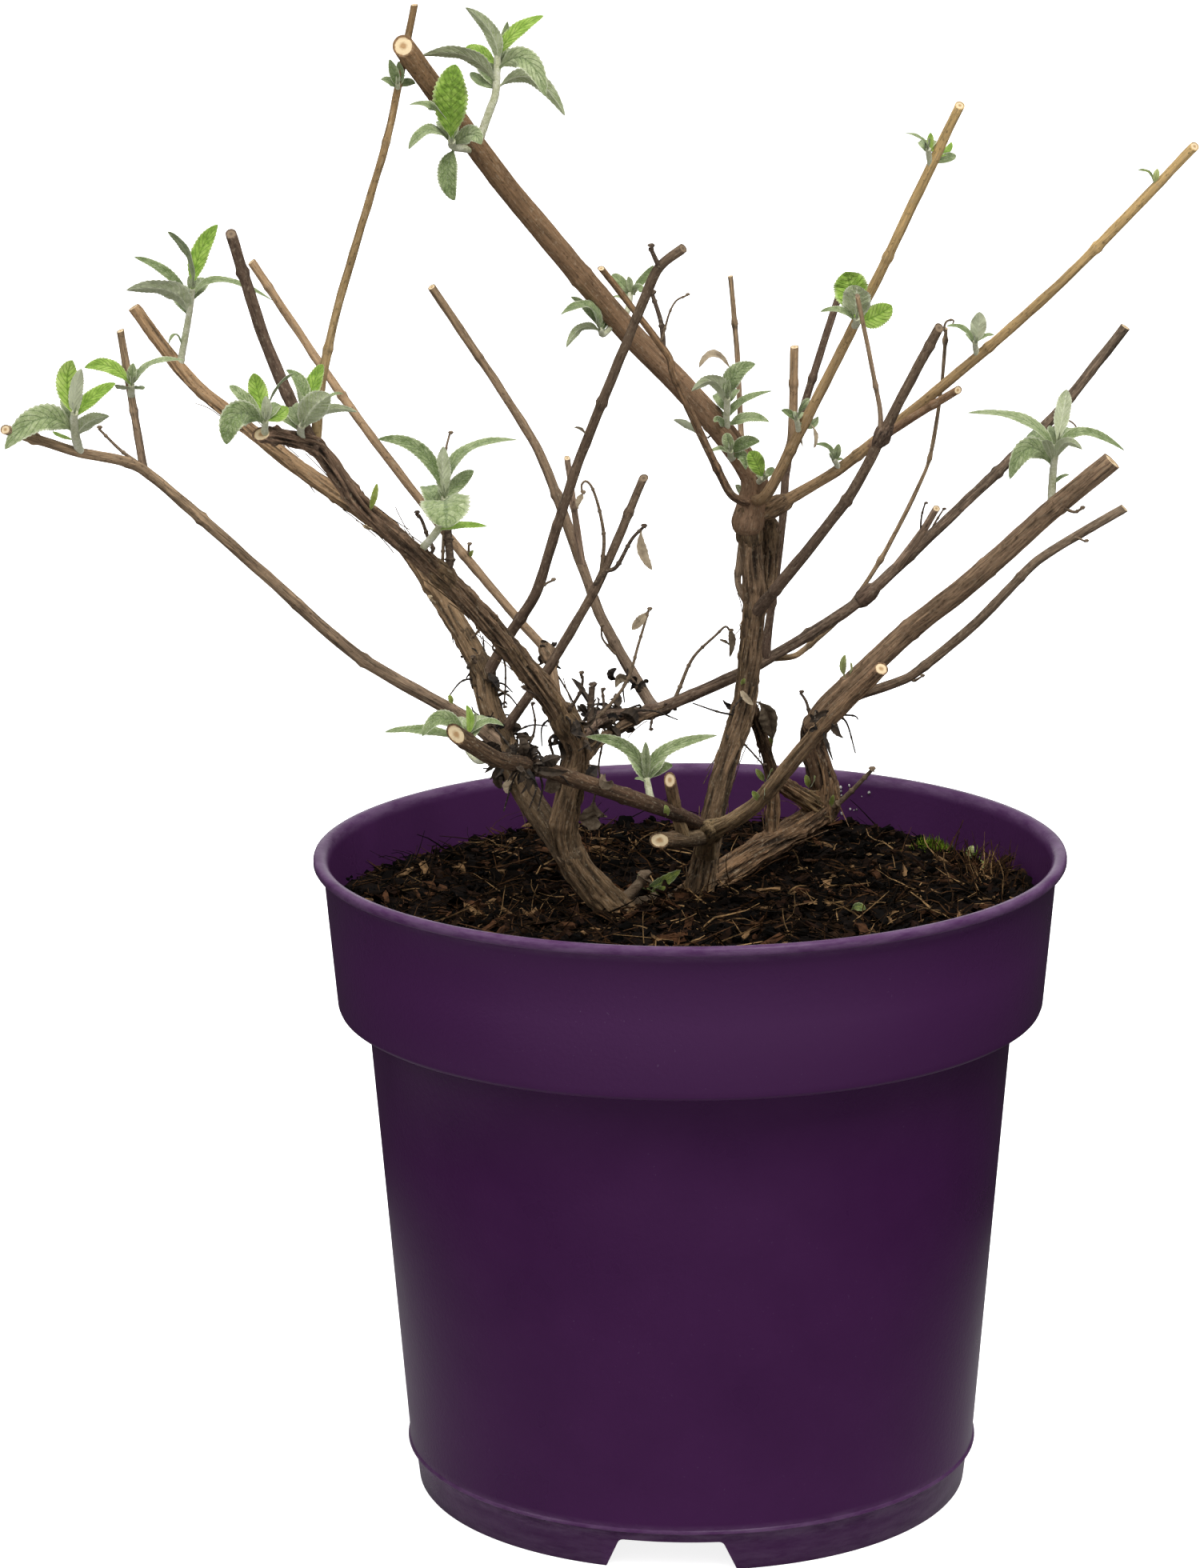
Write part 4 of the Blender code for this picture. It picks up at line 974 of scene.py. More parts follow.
# Leaves. shoot: share of its stem, steps from there to the middle and the tip, width, kind
LEAVES = table("""
shoot_top_back: 0.9 -1.5 -2 9 -9 -4 16.8 4.1 bf / 0.96 4.8 0 7 13.7 2 12.1 4.1 fb / 0.95 2.1 1 5.6
    3.1 1 10.9 2.2 fp / 0.68 -8.2 -5 8.8 -21.3 -9 9.4 4.8 uf / 0.87 -5.1 4 4.1 -9.9 7 4.6 3.4 fb
    / 0.83 8.4 -6 3.8 14.5 -10 -6.7 5.8 ff / 0.63 10.3 3 3.1 20 5 -8.3 4.6 uf / 0.63 -4.9 6 2.2 -8
    12 4 2.9 ff
shoot_top_front: 0.98 0.1 -3 12.4 1.6 -4 22.6 9.1 fb / 0.83 -3.5 -4 10.1 -11.9 -6 12 2.6 lf / 0.77
    -6.1 -6 4.9 -12.2 -9 -0.3 4.1 tf / 0.66 5.4 -6 4.2 8.5 -9 1.5 4.8 ff / 0.6 -2.1 -4 -7.4 -0.1 -5
    -15 5.3 ff / 0.8 2.6 4 3.7 4 5 6.1 3.6 ff
shoot_tall_tip: 0.25 -0.8 -1 4.3 -2.1 -2 8.5 2.6 ff / 0.25 0.7 1 3.6 0.3 1 7.6 2.6 ff / 0.17 -2.2
    -1 2.2 -4.6 -3 2.8 2.2 ff / 0.17 2.5 2 1.6 5 3 1.1 2.2 ff
shoot_back_left: 1 2.3 3 10.7 8.2 4 19.9 5.3 fb / 1 -0.2 -3 11 -6.8 -5 18.9 4.3 lf / 0.85 -7.9 2
    8.8 -18 3 13.6 2.9 tf / 0.64 -4.7 -5 8.8 -18.7 -8 9.7 6.7 bf / 0.83 8.5 2 6.9 25.4 4 0 2.6 tf
    / 0.25 -2 -3 4.6 -4.1 -5 1.9 1.7 tf
shoot_far_left: 0.88 -2.1 3 9.3 -0.3 3 16.2 5.8 fb / 0.72 0.9 -3 9.4 3.2 -5 16.8 3.6 bp / 0.84 4.7
    3 5.6 11.6 6 9.5 3.8 fb / 0.48 -8.9 -5 5.3 -19.4 -8 -3.2 7 ff / 0.36 4 -5 5.3 10.9 -8 7.8 4.6
    bf / 0.3 -5 4 0.8 -7.8 8 1.5 1.2 tb
shoot_low_left: 1 -6.6 2 5.1 -14.1 4 4.4 3.8 fb / 0.96 6.2 -2 6.6 16.2 -3 7.6 2.6 tf / 1 0.4 -1 3.4
    0.8 -1 6.5 2.6 fp / 0.7 -2 -5 0.8 -3.6 -9 2.6 2.2 uf / 0.7 1.9 4 -0.6 2.6 8 -0.5 2.2 tf
shoot_left_cut: 1 -5.9 2 6.1 -10.3 4 9.4 3.1 ff / 1 -2.1 3 7.5 -3.3 3 13.1 4.8 fb / 0.71 0.7 -3 4.8
    0.7 -4 9 2.6 bp / 0.71 2.6 -2 9.8 8.4 -3 15.1 2.4 rf / 0.93 3.4 6 1.2 5.7 9 2.7 3.6 fb / 0.79
    -7.1 -7 4 -10.1 -10 -4.1 6.5 ff
shoot_left_fork: 0.48 -4.7 3 3.6 -7.6 5 3.1 1.9 tf / 0.57 0.3 -2 6.3 -0.6 -3 13.1 2.4 rp / 1 0.1 4
    9.9 -4.7 6 14.9 3.6 ff / 1 3 5 10.6 6 6 16.4 4.3 fb / 0.68 4.2 -6 7.3 9.4 -9 11.4 7 bf / 0.45 7
    -4 7.1 16.7 -6 7.1 2.9 uf / 1 6.5 6 6.6 11.3 10 7.3 1.4 tf
shoot_left_front: 1 -6.6 -2 14 -19 -3 17.7 3.8 ff / 1 5.2 1 12.9 21.2 2 16.5 3.6 tf / 0.98 -0.4 -2
    7.8 0 -3 16 4.1 bp / 0.98 3.8 6 3.8 8.1 10 6.6 3.8 ff / 0.95 0.9 -11 0.3 1.3 -17 -4.9 12.5 ff
    / 0.45 6.1 -4 2.5 15 -6 2.6 2.4 tb
shoot_middle_left: 0.82 -3.6 -4 8.4 -11.9 -7 6.5 5.3 tf / 0.82 -5.6 -3 2 -10.4 -5 -3.6 3.1 uf
    / 0.97 -4 5 5.7 -9 8 8.9 2.4 tf
shoot_middle_back: 1 3.6 3 3.9 7 5 8 2.2 ff / 1 -3.1 2 3.6 -5.6 4 5.3 2.9 ff / 1 -0.2 0 3.1 -0.7 0
    5.3 1.9 fp / 0.59 -2.5 0 2.5 -5.7 2 2 1.4 tf / 0.95 2.3 -4 2.4 3 -7 1.8 3.1 ff
shoot_centre: 0.97 1.9 -2 7.5 8.4 -3 11.2 5 ff / 0.7 -3.2 -5 9.6 -10.6 -8 7.4 4.3 uf / 0.45 4.2 2
    5.7 13.9 3 8.9 2.4 tf / 0.33 6.3 -3 3.4 12.8 -5 2.3 3.1 ff / 0.52 -3.8 4 2.7 -7.1 6 2.6 2.2 tf
    / 1 -1.4 2 3.6 -2.1 3 5.8 2.2 ff / 0.97 0 -1 3.5 0.5 -2 6.5 1.9 fp / 0.3 -2.4 -5 3.2 -3.7 -8
    3.2 2.4 ff
shoot_centre_low: 0.95 -0.7 -1 3.3 -1.2 -1 5.8 3.1 fp / 0.74 4.1 -3 4.3 8.8 -5 4.9 3.6 ff / 0.6
    -2.5 -3 2.9 -6.1 -5 2.7 2.6 tf / 0.37 2.9 -5 1.4 3.9 -7 -2.4 2.9 ff / 0.7 -1.9 4 2.7 -2.9 6 3.8
    2.4 ff
shoot_knot: 0.94 -2.1 -2 5.3 -4 -3 8.9 4.6 fb / 1 2 2 1.6 2.7 3 2.9 2.2 ff
shoot_right_round: 1 -1.3 5 7.4 -3.2 5 13.1 9.1 fb / 0.5 -0.2 -4 7.2 0.2 -6 12.4 7.4 bf / 0.71 5.3
    1 1.5 10.5 2 4.7 6 fb / 0.64 -4.7 -2 4.1 -10.8 -3 3.8 2.2 tf
shoot_right_top: 0.86 -2.3 -2 3.9 -7 -3 5.6 1.9 tf / 0.75 0.5 0 3.2 0.5 0 6 1.9 fb / 0.75 1.8 2 1.6
    2.1 3 2.9 1.2 fb / 0.18 4.9 4 1.1 7.9 7 1.4 2.6 ff / 0.43 5 6 1.4 6.8 9 3.9 1.9 fb
shoot_right_long: 0.73 0.8 -2 5.5 0.9 -3 10.4 4.3 bp / 0.85 -3.6 -1 4.7 -8.7 -2 5.6 1.9 tf / 0.85
    2.7 1 2.2 5.8 2 2.3 1.4 tf
shoot_right_low: 0.88 -2.3 -1 2.6 -4.7 -2 3.5 1.9 ff / 0.92 1.1 -2 4.3 3.9 -2 6.9 2.4 rp / 0.8 4.2
    5 -1.5 6.4 7 0.6 2.4 ff
shoot_right_mid: 0.96 -1.8 -1 4 -5.9 -2 4.9 1.7 tf / 0.83 0.6 -2 3.1 1.1 -2 5.5 2.2 fp / 0.74 1 1
    0.6 2.5 2 0.4 1 tf
shoot_thick_bough: 0.88 -8.9 2 9.6 -26.5 4 11.8 3.6 tf / 0.86 8.1 2 6.6 21.4 3 0.5 2.9 tf / 1 2.3 4
    9.9 3.4 6 16.2 4.6 bb / 0.68 -8 -5 6.3 -13.8 -8 -2.7 5.8 ff / 0.68 2.6 -6 7.9 8 -8 6.3 3.1 uf
    / 0.71 -2.2 -5 6.3 -3.3 -7 8.4 2.9 bf / 0.36 2.2 -2 3.1 5 -3 4.2 1.2 tf
shoot_front_left: 0.93 -12.7 3 2.2 -24.2 5 1.3 3.4 tf / 1 -6.7 -3 6.4 -12.7 -5 1.4 4.1 ff / 1 1 0
    5.2 -0.1 0 9.5 2.2 fb / 1 1.6 1 4.3 2.6 1 7.1 1.7 fp / 1 5.1 2 4 10.6 3 2.6 2.6 tf
shoot_front: 0.97 -5.9 -2 10.3 -18 -3 13.7 3.4 ff / 0.97 5.7 -1 9 21.2 -1 13.6 3.4 ff / 0.97 -0.2
    -2 6.4 -0.2 -3 12.2 2.4 fp / 0.91 3.9 5 2.5 7.7 8 2.7 2.9 ff / 0.85 -2.1 -2 1.5 -3.7 -3 1.7 1.2
    tf
""")


def blade_template(rows, lanes):
    """A flat blade, one long and two wide, with its underside."""
    start()
    bpy.ops.mesh.primitive_grid_add(x_subdivisions=rows, y_subdivisions=lanes, size=2)
    ob = bpy.context.object
    apply_modifier(ob, "SOLIDIFY", thickness=0.01, offset=0, material_offset=1,
                   material_offset_rim=1)
    found = corners(ob)
    faces = [tuple(face.vertices) for face in ob.data.polygons]
    lower = np.array([face.normal.z < 0.5 for face in ob.data.polygons])
    bpy.data.objects.remove(ob)
    return (found[:, 0] + 1) / 2, found[:, 1], np.sign(found[:, 2]), faces, lower, rows


def unit(vectors):
    return vectors / np.maximum(1e-9, np.linalg.norm(vectors, axis=-1, keepdims=True))


def outline(along, petiole, widest, blunt):
    """Half of a blade's width at a share of its length, one at its widest."""
    share = np.clip((along - petiole) / (1 - petiole), 0, 1)
    rise = np.clip(share / widest, 0, 1)
    fall = np.clip((share - widest) / (1 - widest), 0, 1)
    body = np.where(share < widest, (1 - (1 - rise) ** 2.1) ** 0.95, (1 - fall ** blunt) ** 0.72)
    return np.maximum(body, np.where(along < petiole + 0.12, 0.15, 0.003))


class Foliage:
    """Blades gathered into one mesh."""

    def __init__(self, template):
        self.along, self.across, self.face_side, self.faces, self.lower, self.rows = template
        self.points, self.polygons, self.lowers, self.uvs, self.ages = [], [], [], [], []
        self.count = 0

    def add(self, root, mid, tip, up, width, age, rng, fold=0.35, widest=0.42, blunt=2.0,
            pucker=1.0, curl=0.0, veins=9):
        root, mid, tip, up = (array(vector) for vector in (root, mid, tip, up))
        bend = 2 * mid - (root + tip) / 2
        t = self.along[:, None]
        centre = root * (1 - t) ** 2 + 2 * bend * t * (1 - t) + tip * t ** 2
        tangent = unit((bend - root) * (1 - t) + (tip - bend) * t)
        length = np.linalg.norm(mid - root) + np.linalg.norm(tip - mid)
        up = unit(up - tangent * (tangent @ up)[:, None])
        side = np.cross(up, tangent)
        turn = (curl * t + rng.uniform(-0.2, 0.2))
        side, up = side * np.cos(turn) + up * np.sin(turn), up * np.cos(turn) - side * np.sin(turn)
        size = width * BROADER / 2
        half = outline(self.along, 0.06, widest, blunt) * size
        rows = np.round(self.along * self.rows).astype(int)
        edge = np.abs(self.across) > 0.98
        half = half * (1 + edge * np.where(rows % 2, 0.05, -0.05))
        off = np.abs(self.across)
        wave = rng.uniform(0, 6)
        rise = fold * off * half * (1 - 0.35 * off)
        ribs = np.abs(np.sin(math.pi * (veins * self.along - 0.26 * veins * off)))
        rise += pucker * 0.15 * half * (ribs - 0.5) * np.sin(math.pi * np.minimum(1, off * 1.1))
        rise += 0.10 * half * np.sin(self.along * 15 + wave + 1.6 * np.sign(self.across)) * off ** 2
        thick = 0.010 * length * (1 - 0.7 * off)
        rise += thick * self.face_side * 0.5
        place = centre + side * (self.across * half)[:, None] + up * rise[:, None]
        self.polygons += [tuple(v + self.count for v in face) for face in self.faces]
        self.count += len(place)
        self.points.append(place)
        self.lowers.append(self.lower)
        self.uvs.append(np.stack([self.along, (self.across + 1) / 2], 1))
        self.ages.append(np.full(len(place), age))

    def piece(self, name, face, back):
        ob = mesh_of(name, np.concatenate(self.points), self.polygons, face, back)
        ob.data.polygons.foreach_set("material_index", np.concatenate(self.lowers).astype(np.int32))
        uvs = np.concatenate(self.uvs)
        layer = ob.data.uv_layers.new(name="blade")
        index = np.empty(len(ob.data.loops), np.int32)
        ob.data.loops.foreach_get("vertex_index", index)
        layer.data.foreach_set("uv", uvs[index].astype(np.float32).ravel())
        add_values(ob, "age", np.concatenate(self.ages))
        smooth(ob, 50)
        return ob


def make_shoots(routes, finishes, template):
    """Woolly stems and their leaves."""
    rng = random.Random(SEED)
    foliage = {kind: Foliage(template) for kind in ("felted", "felted_far", "bright")}
    stems = []
    for name, (limb, share, wide, slim, bends) in STEMS.items():
        foot = point_at(routes[limb], share)
        route = smooth_route([foot] + [foot + Vector(step) for step in bends], 0.7)
        stems.append(woolly_stem(name, route, wide, slim, finishes["woolly"]))
        leaves = [(level, *threes(steps), width, kind)
                  for level, *steps, width, kind in LEAVES[name]]
        for level, mid, tip, width, kind in leaves + hidden_leaves(leaves):
            root = point_at(route, level)
            fold, widest, age = FOLDS[kind[1]]
            length = Vector(tip).length
            bag = "bright" if kind[1] == "b" else "felted" if root.x < -20 else "felted_far"
            foliage[bag].add(root, root + Vector(mid), root + Vector(tip), FACINGS[kind[0]], width,
                             age + rng.uniform(-0.3, 0.25), rng, fold, widest,
                             2.8 if width > length * 0.42 else 2.0, 1.4 if width > 5 else 1.0,
                             rng.uniform(-0.3, 0.3), max(6, round(length / 2.4)))
        add_tip(foliage["felted"], route, rng)
    for kind, bag in foliage.items():
        face = finishes["bright" if kind == "bright" else "felted"]
        nodes = STEMS if kind == "felted" else ()
        settle(bag.piece("leaves_" + kind, face, finishes["under"]), "leaf", *nodes)
    whole = join("shoot_stems", stems)
    smooth(whole, 60)
    settle(whole, "leaf")


def woolly_stem(name, route, wide, slim, finish):
    radii = [(wide + (slim - wide) * k / (len(route) - 1)) / 2 for k in range(len(route))]
    stem = swept(name + "_stem", route, radii, 14, finish)
    found = corners(stem)
    for point in found:
        point += array(noise.noise_vector(Vector(point) / 1.1)) * 0.14
    set_corners(stem, found)
    return stem


def hidden_leaves(leaves):
    """Leaves on the far side of a shoot, a little smaller than those in front."""
    length = max(Vector(tip).length for _, _, tip, _, _ in leaves) * 0.8
    made = []
    for k, (level, lean) in enumerate(BACK_LEAVES if len(leaves) > 2 else BACK_LEAVES[:1]):
        reach = length * (1 - 0.16 * k)
        made.append((level, (lean * reach * 0.3, reach * 0.42, reach * 0.3),
                     (lean * reach * 0.6, reach * 0.86, reach * 0.32), reach * 0.27, "tf"))
    return made


def add_tip(bag, route, rng):
    """The two small folded leaves in the middle of a shoot's tip."""
    top = route[-1]
    axis = (top - route[-3]).normalized()
    for side, facing in ((-1, "l"), (1, "r")):
        aside = Vector((side * 0.25, rng.uniform(-0.5, 0.5), 0))
        reach = rng.uniform(3.0, 5.0)
        bag.add(top - axis, top + axis * reach * 0.5 + aside * 0.3, top + axis * reach + aside * 2,
                FACINGS[facing], 1.5, rng.uniform(0.7, 1.0), rng, 0.8, 0.4, 1.8)

# Dead twigs, leaves, buds, loose bark, and what lies on the soil

# Dead twigs. limb: share of it, diameter at the foot and the tip, tone / then steps from there
TWIGS = table("""
left_low_bough: 0.77 0.9 0.6 b 0.3 0.3 0.9 -4.8 1.6 4.5 -11.2 3.3 10.6
right_stem: 0.68 1.5 0.9 b 2.8 -2.4 0.2 8.2 -5 5.7 14.6 -8.4 13.5 / 1 0.9 0.6 d -1.7 1.3 -0.1 -3.1
    3.7 4.5 -4.9 5.3 7.2 / 0.02 3.2 2.4 b -23.3 -17.6 1.9 -20.1 -16.3 5.1 -15.9 -14.6 9.4
back_bough: 0.08 0.9 0.6 b -1.1 -0.3 0.5 2.8 0.7 3.5 9.9 3.1 12.4 13.4 5.5 23.3 16.6 7.7 33.6
    / 0.24 1 0.5 b -1.2 0.3 -0.2 0.6 1.1 4.2 4.8 2.7 13.3 12 4.3 20.2 14.8 4.9 22.6 16.3 5.3 21
    / 0.64 0.6 0.4 d -0.9 0.4 1 1.1 1.7 4.3 2.4 2.4 6.2 / 0.07 1.6 1.5 d -0.5 0.2 0.3 -0.3 1.8 6.2
    0 3.2 11.4 / 0.11 0.8 0.6 d -0.3 0.2 -0.3 0.1 2.2 3.5 -0.4 4.2 7.4 / 0.8 0.6 0.4 b 1.3 -0.7
    -0.6 6.4 -2 3.4 9.3 -2.9 6.9 12.5 -3.6 8.5 15 -4.2 7.3 16.2 -4.7 4.9
middle_dark_shoot: 0.63 1.2 0.7 d -0.6 -0.8 -0.1 2.3 -1.4 3.7 5.7 -1.9 5.5 10.1 -3.1 13.7 13.7 -3.8
    17.7 / 0.67 1 0.5 b -0.6 -0.8 0.4 0.3 -2.3 10.1 -0.9 -3.6 18.9 -2.9 -4.7 25.9 -4.8 -5.1 28.4
    -6.2 -5.4 27.4 -6 -5.8 24.9
back_bough_stub: 0.63 0.5 0.4 d -0.8 -0.7 1 -0.6 -1.7 5 0.3 -2.7 8.9
left_stem: 0.33 0.9 0.6 d 1.3 -2.5 2.5 4.8 -5 8.5 6 -6.7 13.2 5.4 -7.5 15.4 / 0.65 0.9 0.7 d 3.2
    1.4 2.1 1.7 3.1 5.6 -0.2 5.4 10.4 -1.9 6.4 12.1 / 0.61 2 1.2 d 2.3 0.4 3.6 2 2 9 1.8 3.4 13.5
    1.1 7.4 27.1 / 0.61 0.8 0.5 b 1.1 7.4 27.1 1 12.2 34.6 2.1 15.4 39.5 / 0.48 0.5 0.4 d -2.9 0.9
    -3 0.3 2.5 -7 0.7 4.3 -13.5 0 6.9 -22.6 / 0.31 0.8 0.5 d -5.9 1 -2.6 -5.1 3.5 -8.9 -4.5 6 -15.2
    / 0.33 1 0.5 d -1.4 -2.2 -1.2 -3.6 -5 5.6 -7.8 -7.2 9 -11.8 -9.2 11.4 / 0.26 0.5 0.4 d 6.8 -2.4
    -0.5
middle_dark_bough: 0.23 0.8 0.5 b 0.3 -0.8 -0.5 1.8 -1.6 1.9 3.3 -2.2 3.2 5 -2.8 4.1 / 0.94 1.3 0.9
    d 0 -0.8 0.4 -1.4 -1.4 3.5 -2.5 -1.8 6.1
left_thin_bough: 0.41 0.8 0.5 b 0.7 -0.6 1.2 0.8 -1.6 4.6 / 0.16 0.4 0.4 d 0.9 0.5 0.3 4.7 2.2 -6.6
    7.1 3.5 -12.4
back_shoot: 0.21 0.7 0.4 b -1.2 -0.9 -0.4 -3.2 -2 1.9 -5.4 -3.4 5.3 -5.6 -4.9 9.4 / 0.16 0.5 0.4 d
    -5.3 -0.6 -1.9
right_thick_bough: 0.84 0.9 0.6 b -0.2 -1.7 -0.8 3.6 -3.5 -2.4 5.9 -4.7 -1.2
right_low_bough: 0.83 0.9 0.4 b 0.4 -0.8 0 2.1 -1.6 1.2 5.1 -2.8 0.1 / 0.3 0.9 0.4 b 1.1 -0.9 -1.2
    3.5 -2.9 0.6
back_thin_shoot: 0.99 0.6 0.4 b -0.6 -0.4 0.8 0.1 -0.8 3.3 2.3 -1.1 3.8 1.8 -1.4 1.9
centre_stem: 0.46 0.5 0.4 d 0.7 0.9 -0.6 4.7 4.2 -5.4 8.9 7.9 -11.1 / 0.55 0.5 0.4 d 4.3 2.1 -1
back_brace: 0.37 0.5 0.4 d 1.1 0.6 -0.7 0 2.2 -8.1 0.9 3.6 -14.5 / 0.94 0.7 0.5 d 0.2 -0.9 0.2 -0.8
    -3.9 -4.9
top_bough_shoot: 0.69 1.2 0.9 d 0.6 0.3 0.2 -0.1 2.6 6.8 -2.7 5.3 14.8 / 0.71 0.6 0.4 b 1.3 -0.6
    0.4 3.5 -2.1 8.2 5.6 -2.9 12.2 8.7 -3.6 13.9
left_back_bough: 0.16 0.8 0.4 d 6.4 1.2 2.7 8.3 5.3 8 7.3 9.2 13.4 / 0.28 0.9 0.5 d 0.1 -2.5 -0.2
    -2.2 -4.5 3.5 / 0.26 0.9 0.4 d -0.6 1.1 -0.4 -3.7 4.1 -3.1 / 0.38 1 0.5 p -2.4 -1.4 -0.1 -4.2
    -3.4 1.8 / 0.32 0.9 0.5 b 1.8 -2.2 1 4.6 -4.2 4.2 / 0.52 0.9 0.5 p -1.7 -1.6 -1 -5 -3.6 -0.1
centre_thin_shoot: 0.73 0.5 0.4 d -2.1 -0.4 0.2
front_left_bough: 0.49 0.5 0.4 d 1.4 -1.4 4 / 0.49 0.5 0.4 d -1.1 1.5 -5
top_bough: 0.17 0.5 0.4 d -3.4 2.3 -3.7
""")
# Small leaves on the limbs. limb: share of it, steps from there to the root, the middle and the
# tip, width, kind
SPRIGS = table("""
back_bough: 0.08 16.3 7.7 33.3 13.9 6.7 30.3 11.4 5.7 27.8 1.7 fd / 0.24 15.8 5.3 21.6 16.7 4.3
    18.7 16 3.3 13.1 1.4 fg / 0.24 16.5 5.3 16.5 14.8 3.3 17.7 12.8 1.3 19.1 1.2 tg
middle_dark_shoot: 0.63 13.2 -3.8 17.2 13.2 -4.8 10.4 16.3 -5.8 5 1.9 fd / 0.67 -5.8 -5.8 25.1 -6.7
    -6.8 22.9 -7.2 -7.8 20.4 1.4 fd
centre_thin_shoot: 0.73 -2.1 -0.4 0.2 -7.3 -2.4 5.2 -12 -3.4 1.4 1.9 td
centre_dark_shoot: 0.64 -0.3 -0.7 0 0.6 -2.7 -3.9 1.1 -3.7 -7.5 1.2 ld
right_tall_bough: 0.26 1.2 -1 0.1 2.8 -3 -3 2.6 -4 -7.2 1.2 rd
middle_dark_bough: 0.57 -0.1 -0.9 -0.2 -2 -1.9 1.9 -4.1 -2.9 3.1 1.4 td / 0.02 0.1 -1.2 0.6 1.6
    -4.2 -2.3 3.3 -5.2 -5.1 2.2 fk
front_left_bough: 0.49 1.4 -1.4 4 2.8 -4.4 2.7 4.5 -6.4 3.5 2.6 fg / 0.49 -1.1 1.5 -5 -0.7 5.5 -9.9
    1.2 3.5 -12.3 5.3 fg / 0.62 0.1 1.7 -1.7 0.9 5.7 -5.5 0.9 6.7 -8.7 2.9 fg / 0.3 -0.5 -1.2 -2
    -0.2 -3.2 0.5 -0.7 -4.2 2.7 1.7 fl
left_stem: 0.26 6.8 -2.4 -0.5 4.5 -5.4 -2.3 2.3 -6.4 -6 2.4 fk / 0.75 -0.4 -1.9 0.8 1.3 -4.9 5.8
    2.3 -5.9 10.2 1.7 fl / 0.32 -1 -2.3 0.3 -1.4 -4.3 2.2 -0.7 -5.3 3.7 1.4 fl
centre_stem: 0.55 4.3 2.1 -1 7.5 6.1 -6.4 8.8 7.1 -14 3.6 fg / 0.58 -1.8 -2.1 0.7 -0.4 -5.1 -1.7
    2.1 -6.1 -3.7 1.2 fd / 0.58 -0.8 -2 1.2 -1.1 -4 2.9 -0.4 -5 4.3 1.4 fl / 1 0.7 1.9 2.6 -1.2 5.9
    6.9 -3.8 7.9 10 2.9 bf
left_back_bough: 0.13 -1.3 -2.5 -0.1 -2.2 -4.5 -2.2 -1.9 -6.5 -3.7 2.2 fd
back_shoot: 0.16 -5.3 -0.6 -1.9 -6.2 -2.6 0.1 -4.7 -3.6 2.4 1.9 fk / 0.14 2.6 -1.6 0.9 0.9 -3.6
    -0.7 -0.6 -4.6 -2 1.9 fk / 0.15 -1.8 -1.4 -1.4 -4.8 -3.4 0.6 -6 -4.4 -2.3 1.9 fd
left_low_bough: 0.12 1.1 -1.4 2 0.5 -2.4 3.7 0.2 -2.4 5.2 1.4 fl
centre_prop: 0.32 -2.2 -1.2 0.2 -3.7 -4.2 3.2 -5.2 -5.2 5.5 1.7 fl / 0.32 -1.9 -1.2 0.5 -1 -4.2 3.5
    0 -5.2 5.8 1.7 rl / 0.55 2.3 -1.2 0.9 1.7 -3.2 3.1 2.5 -4.2 5.2 1.4 fl
front_bough: 0.38 0.3 -1.4 0.2 -0.9 -4.4 2.9 -2.1 -5.4 4.6 1.7 fl / 0.39 0.2 -1.3 -0.2 0.9 -4.3 2.7
    1.1 -5.3 4.9 1.7 rl
right_stem: 0.76 -4.6 -2.5 -0.9 -5.1 -4.5 1.9 -5.7 -5.5 4.2 1.7 fl / 0.76 -4.1 -2.5 -0.6 -3.1 -4.5
    1.9 -2.9 -5.5 4 1.4 rl / 0.02 87 35.4 2.4 86.1 34.4 4.7 87.1 34.4 6.8 2.2 fp / 0.02 89.4 33.3
    2.4 91.7 29.3 0.5 94.2 25.3 -2 2.6 tf / 0.02 46.7 -26.7 2.4 48.8 -27.7 3.6 51 -27.7 2.4 2.2 ff
    / 0.02 -16.1 -2.3 2.4 -17.3 -3.3 5.7 -16 -3.3 8.7 2.2 ff / 0.02 -15.6 -1.3 2.4 -11.1 -3.3 4.7
    -4.9 -4.3 9.2 3.1 ff / 0.02 -14.6 -4.2 2.4 -12.3 -7.2 3.2 -9.6 -8.2 4.9 2.2 ff
right_stem_stub: 0 2.7 -1.8 0.8 3.4 -3.8 3.7 3.8 -4.8 6.2 1.4 fl
right_thick_bough: 0.14 -2 -2.1 2.9 -2.6 -4.1 6.9 -1.9 -5.1 10.7 1.9 fp / 0.15 -1.7 -2.1 2 -1 -3.1
    4.8 -1.3 -4.1 7 1.4 rp
left_thin_bough: 0.41 1.2 -1 0.5 1.6 -2 1.9 2.4 -3 3.1 1.2 fl
top_bough: 0.17 -3.4 2.3 -3.7 -9 7.3 -1.1 -13.9 10.3 0.6 2.6 bp
right_long_bough: 0.91 -1.4 -0.7 0.4 -2.9 -1.7 3.5 -6.3 -2.7 4.3 1.4 tf / 0.91 -1.1 -0.7 0.4 -0.8
    -1.7 2.6 -0.4 -1.7 4.7 1.7 fp
""")
TANGLES = (
    ("left_back_bough", 0.25, 0.29, 16, 5, 5),
    ("left_back_bough", 0.20, 0.25, 12, 4, 5),
    ("left_back_bough", 0.14, 0.20, 50, 12, 7),
    ("left_thin_bough", 0.19, 0.22, 14, 3, 4),
    ("back_bough", 0.06, 0.15, 40, 7, 7),
    ("left_stem", 0.30, 0.35, 20, 5, 6),
    ("back_shoot", 0.11, 0.16, 12, 3, 4),
    ("left_stem", 0.27, 0.30, 20, 4, 6),
    ("front_left_bough", 0.66, 0.79, 34, 6, 6),
    ("front_left_bough", 0.63, 0.70, 26, 6, 6),
    ("front_bough", 0.69, 0.78, 14, 4, 5),
    ("centre_stem", 0.49, 0.54, 12, 3, 5),
    ("back_bough", 0.21, 0.23, 6, 2, 3),
)
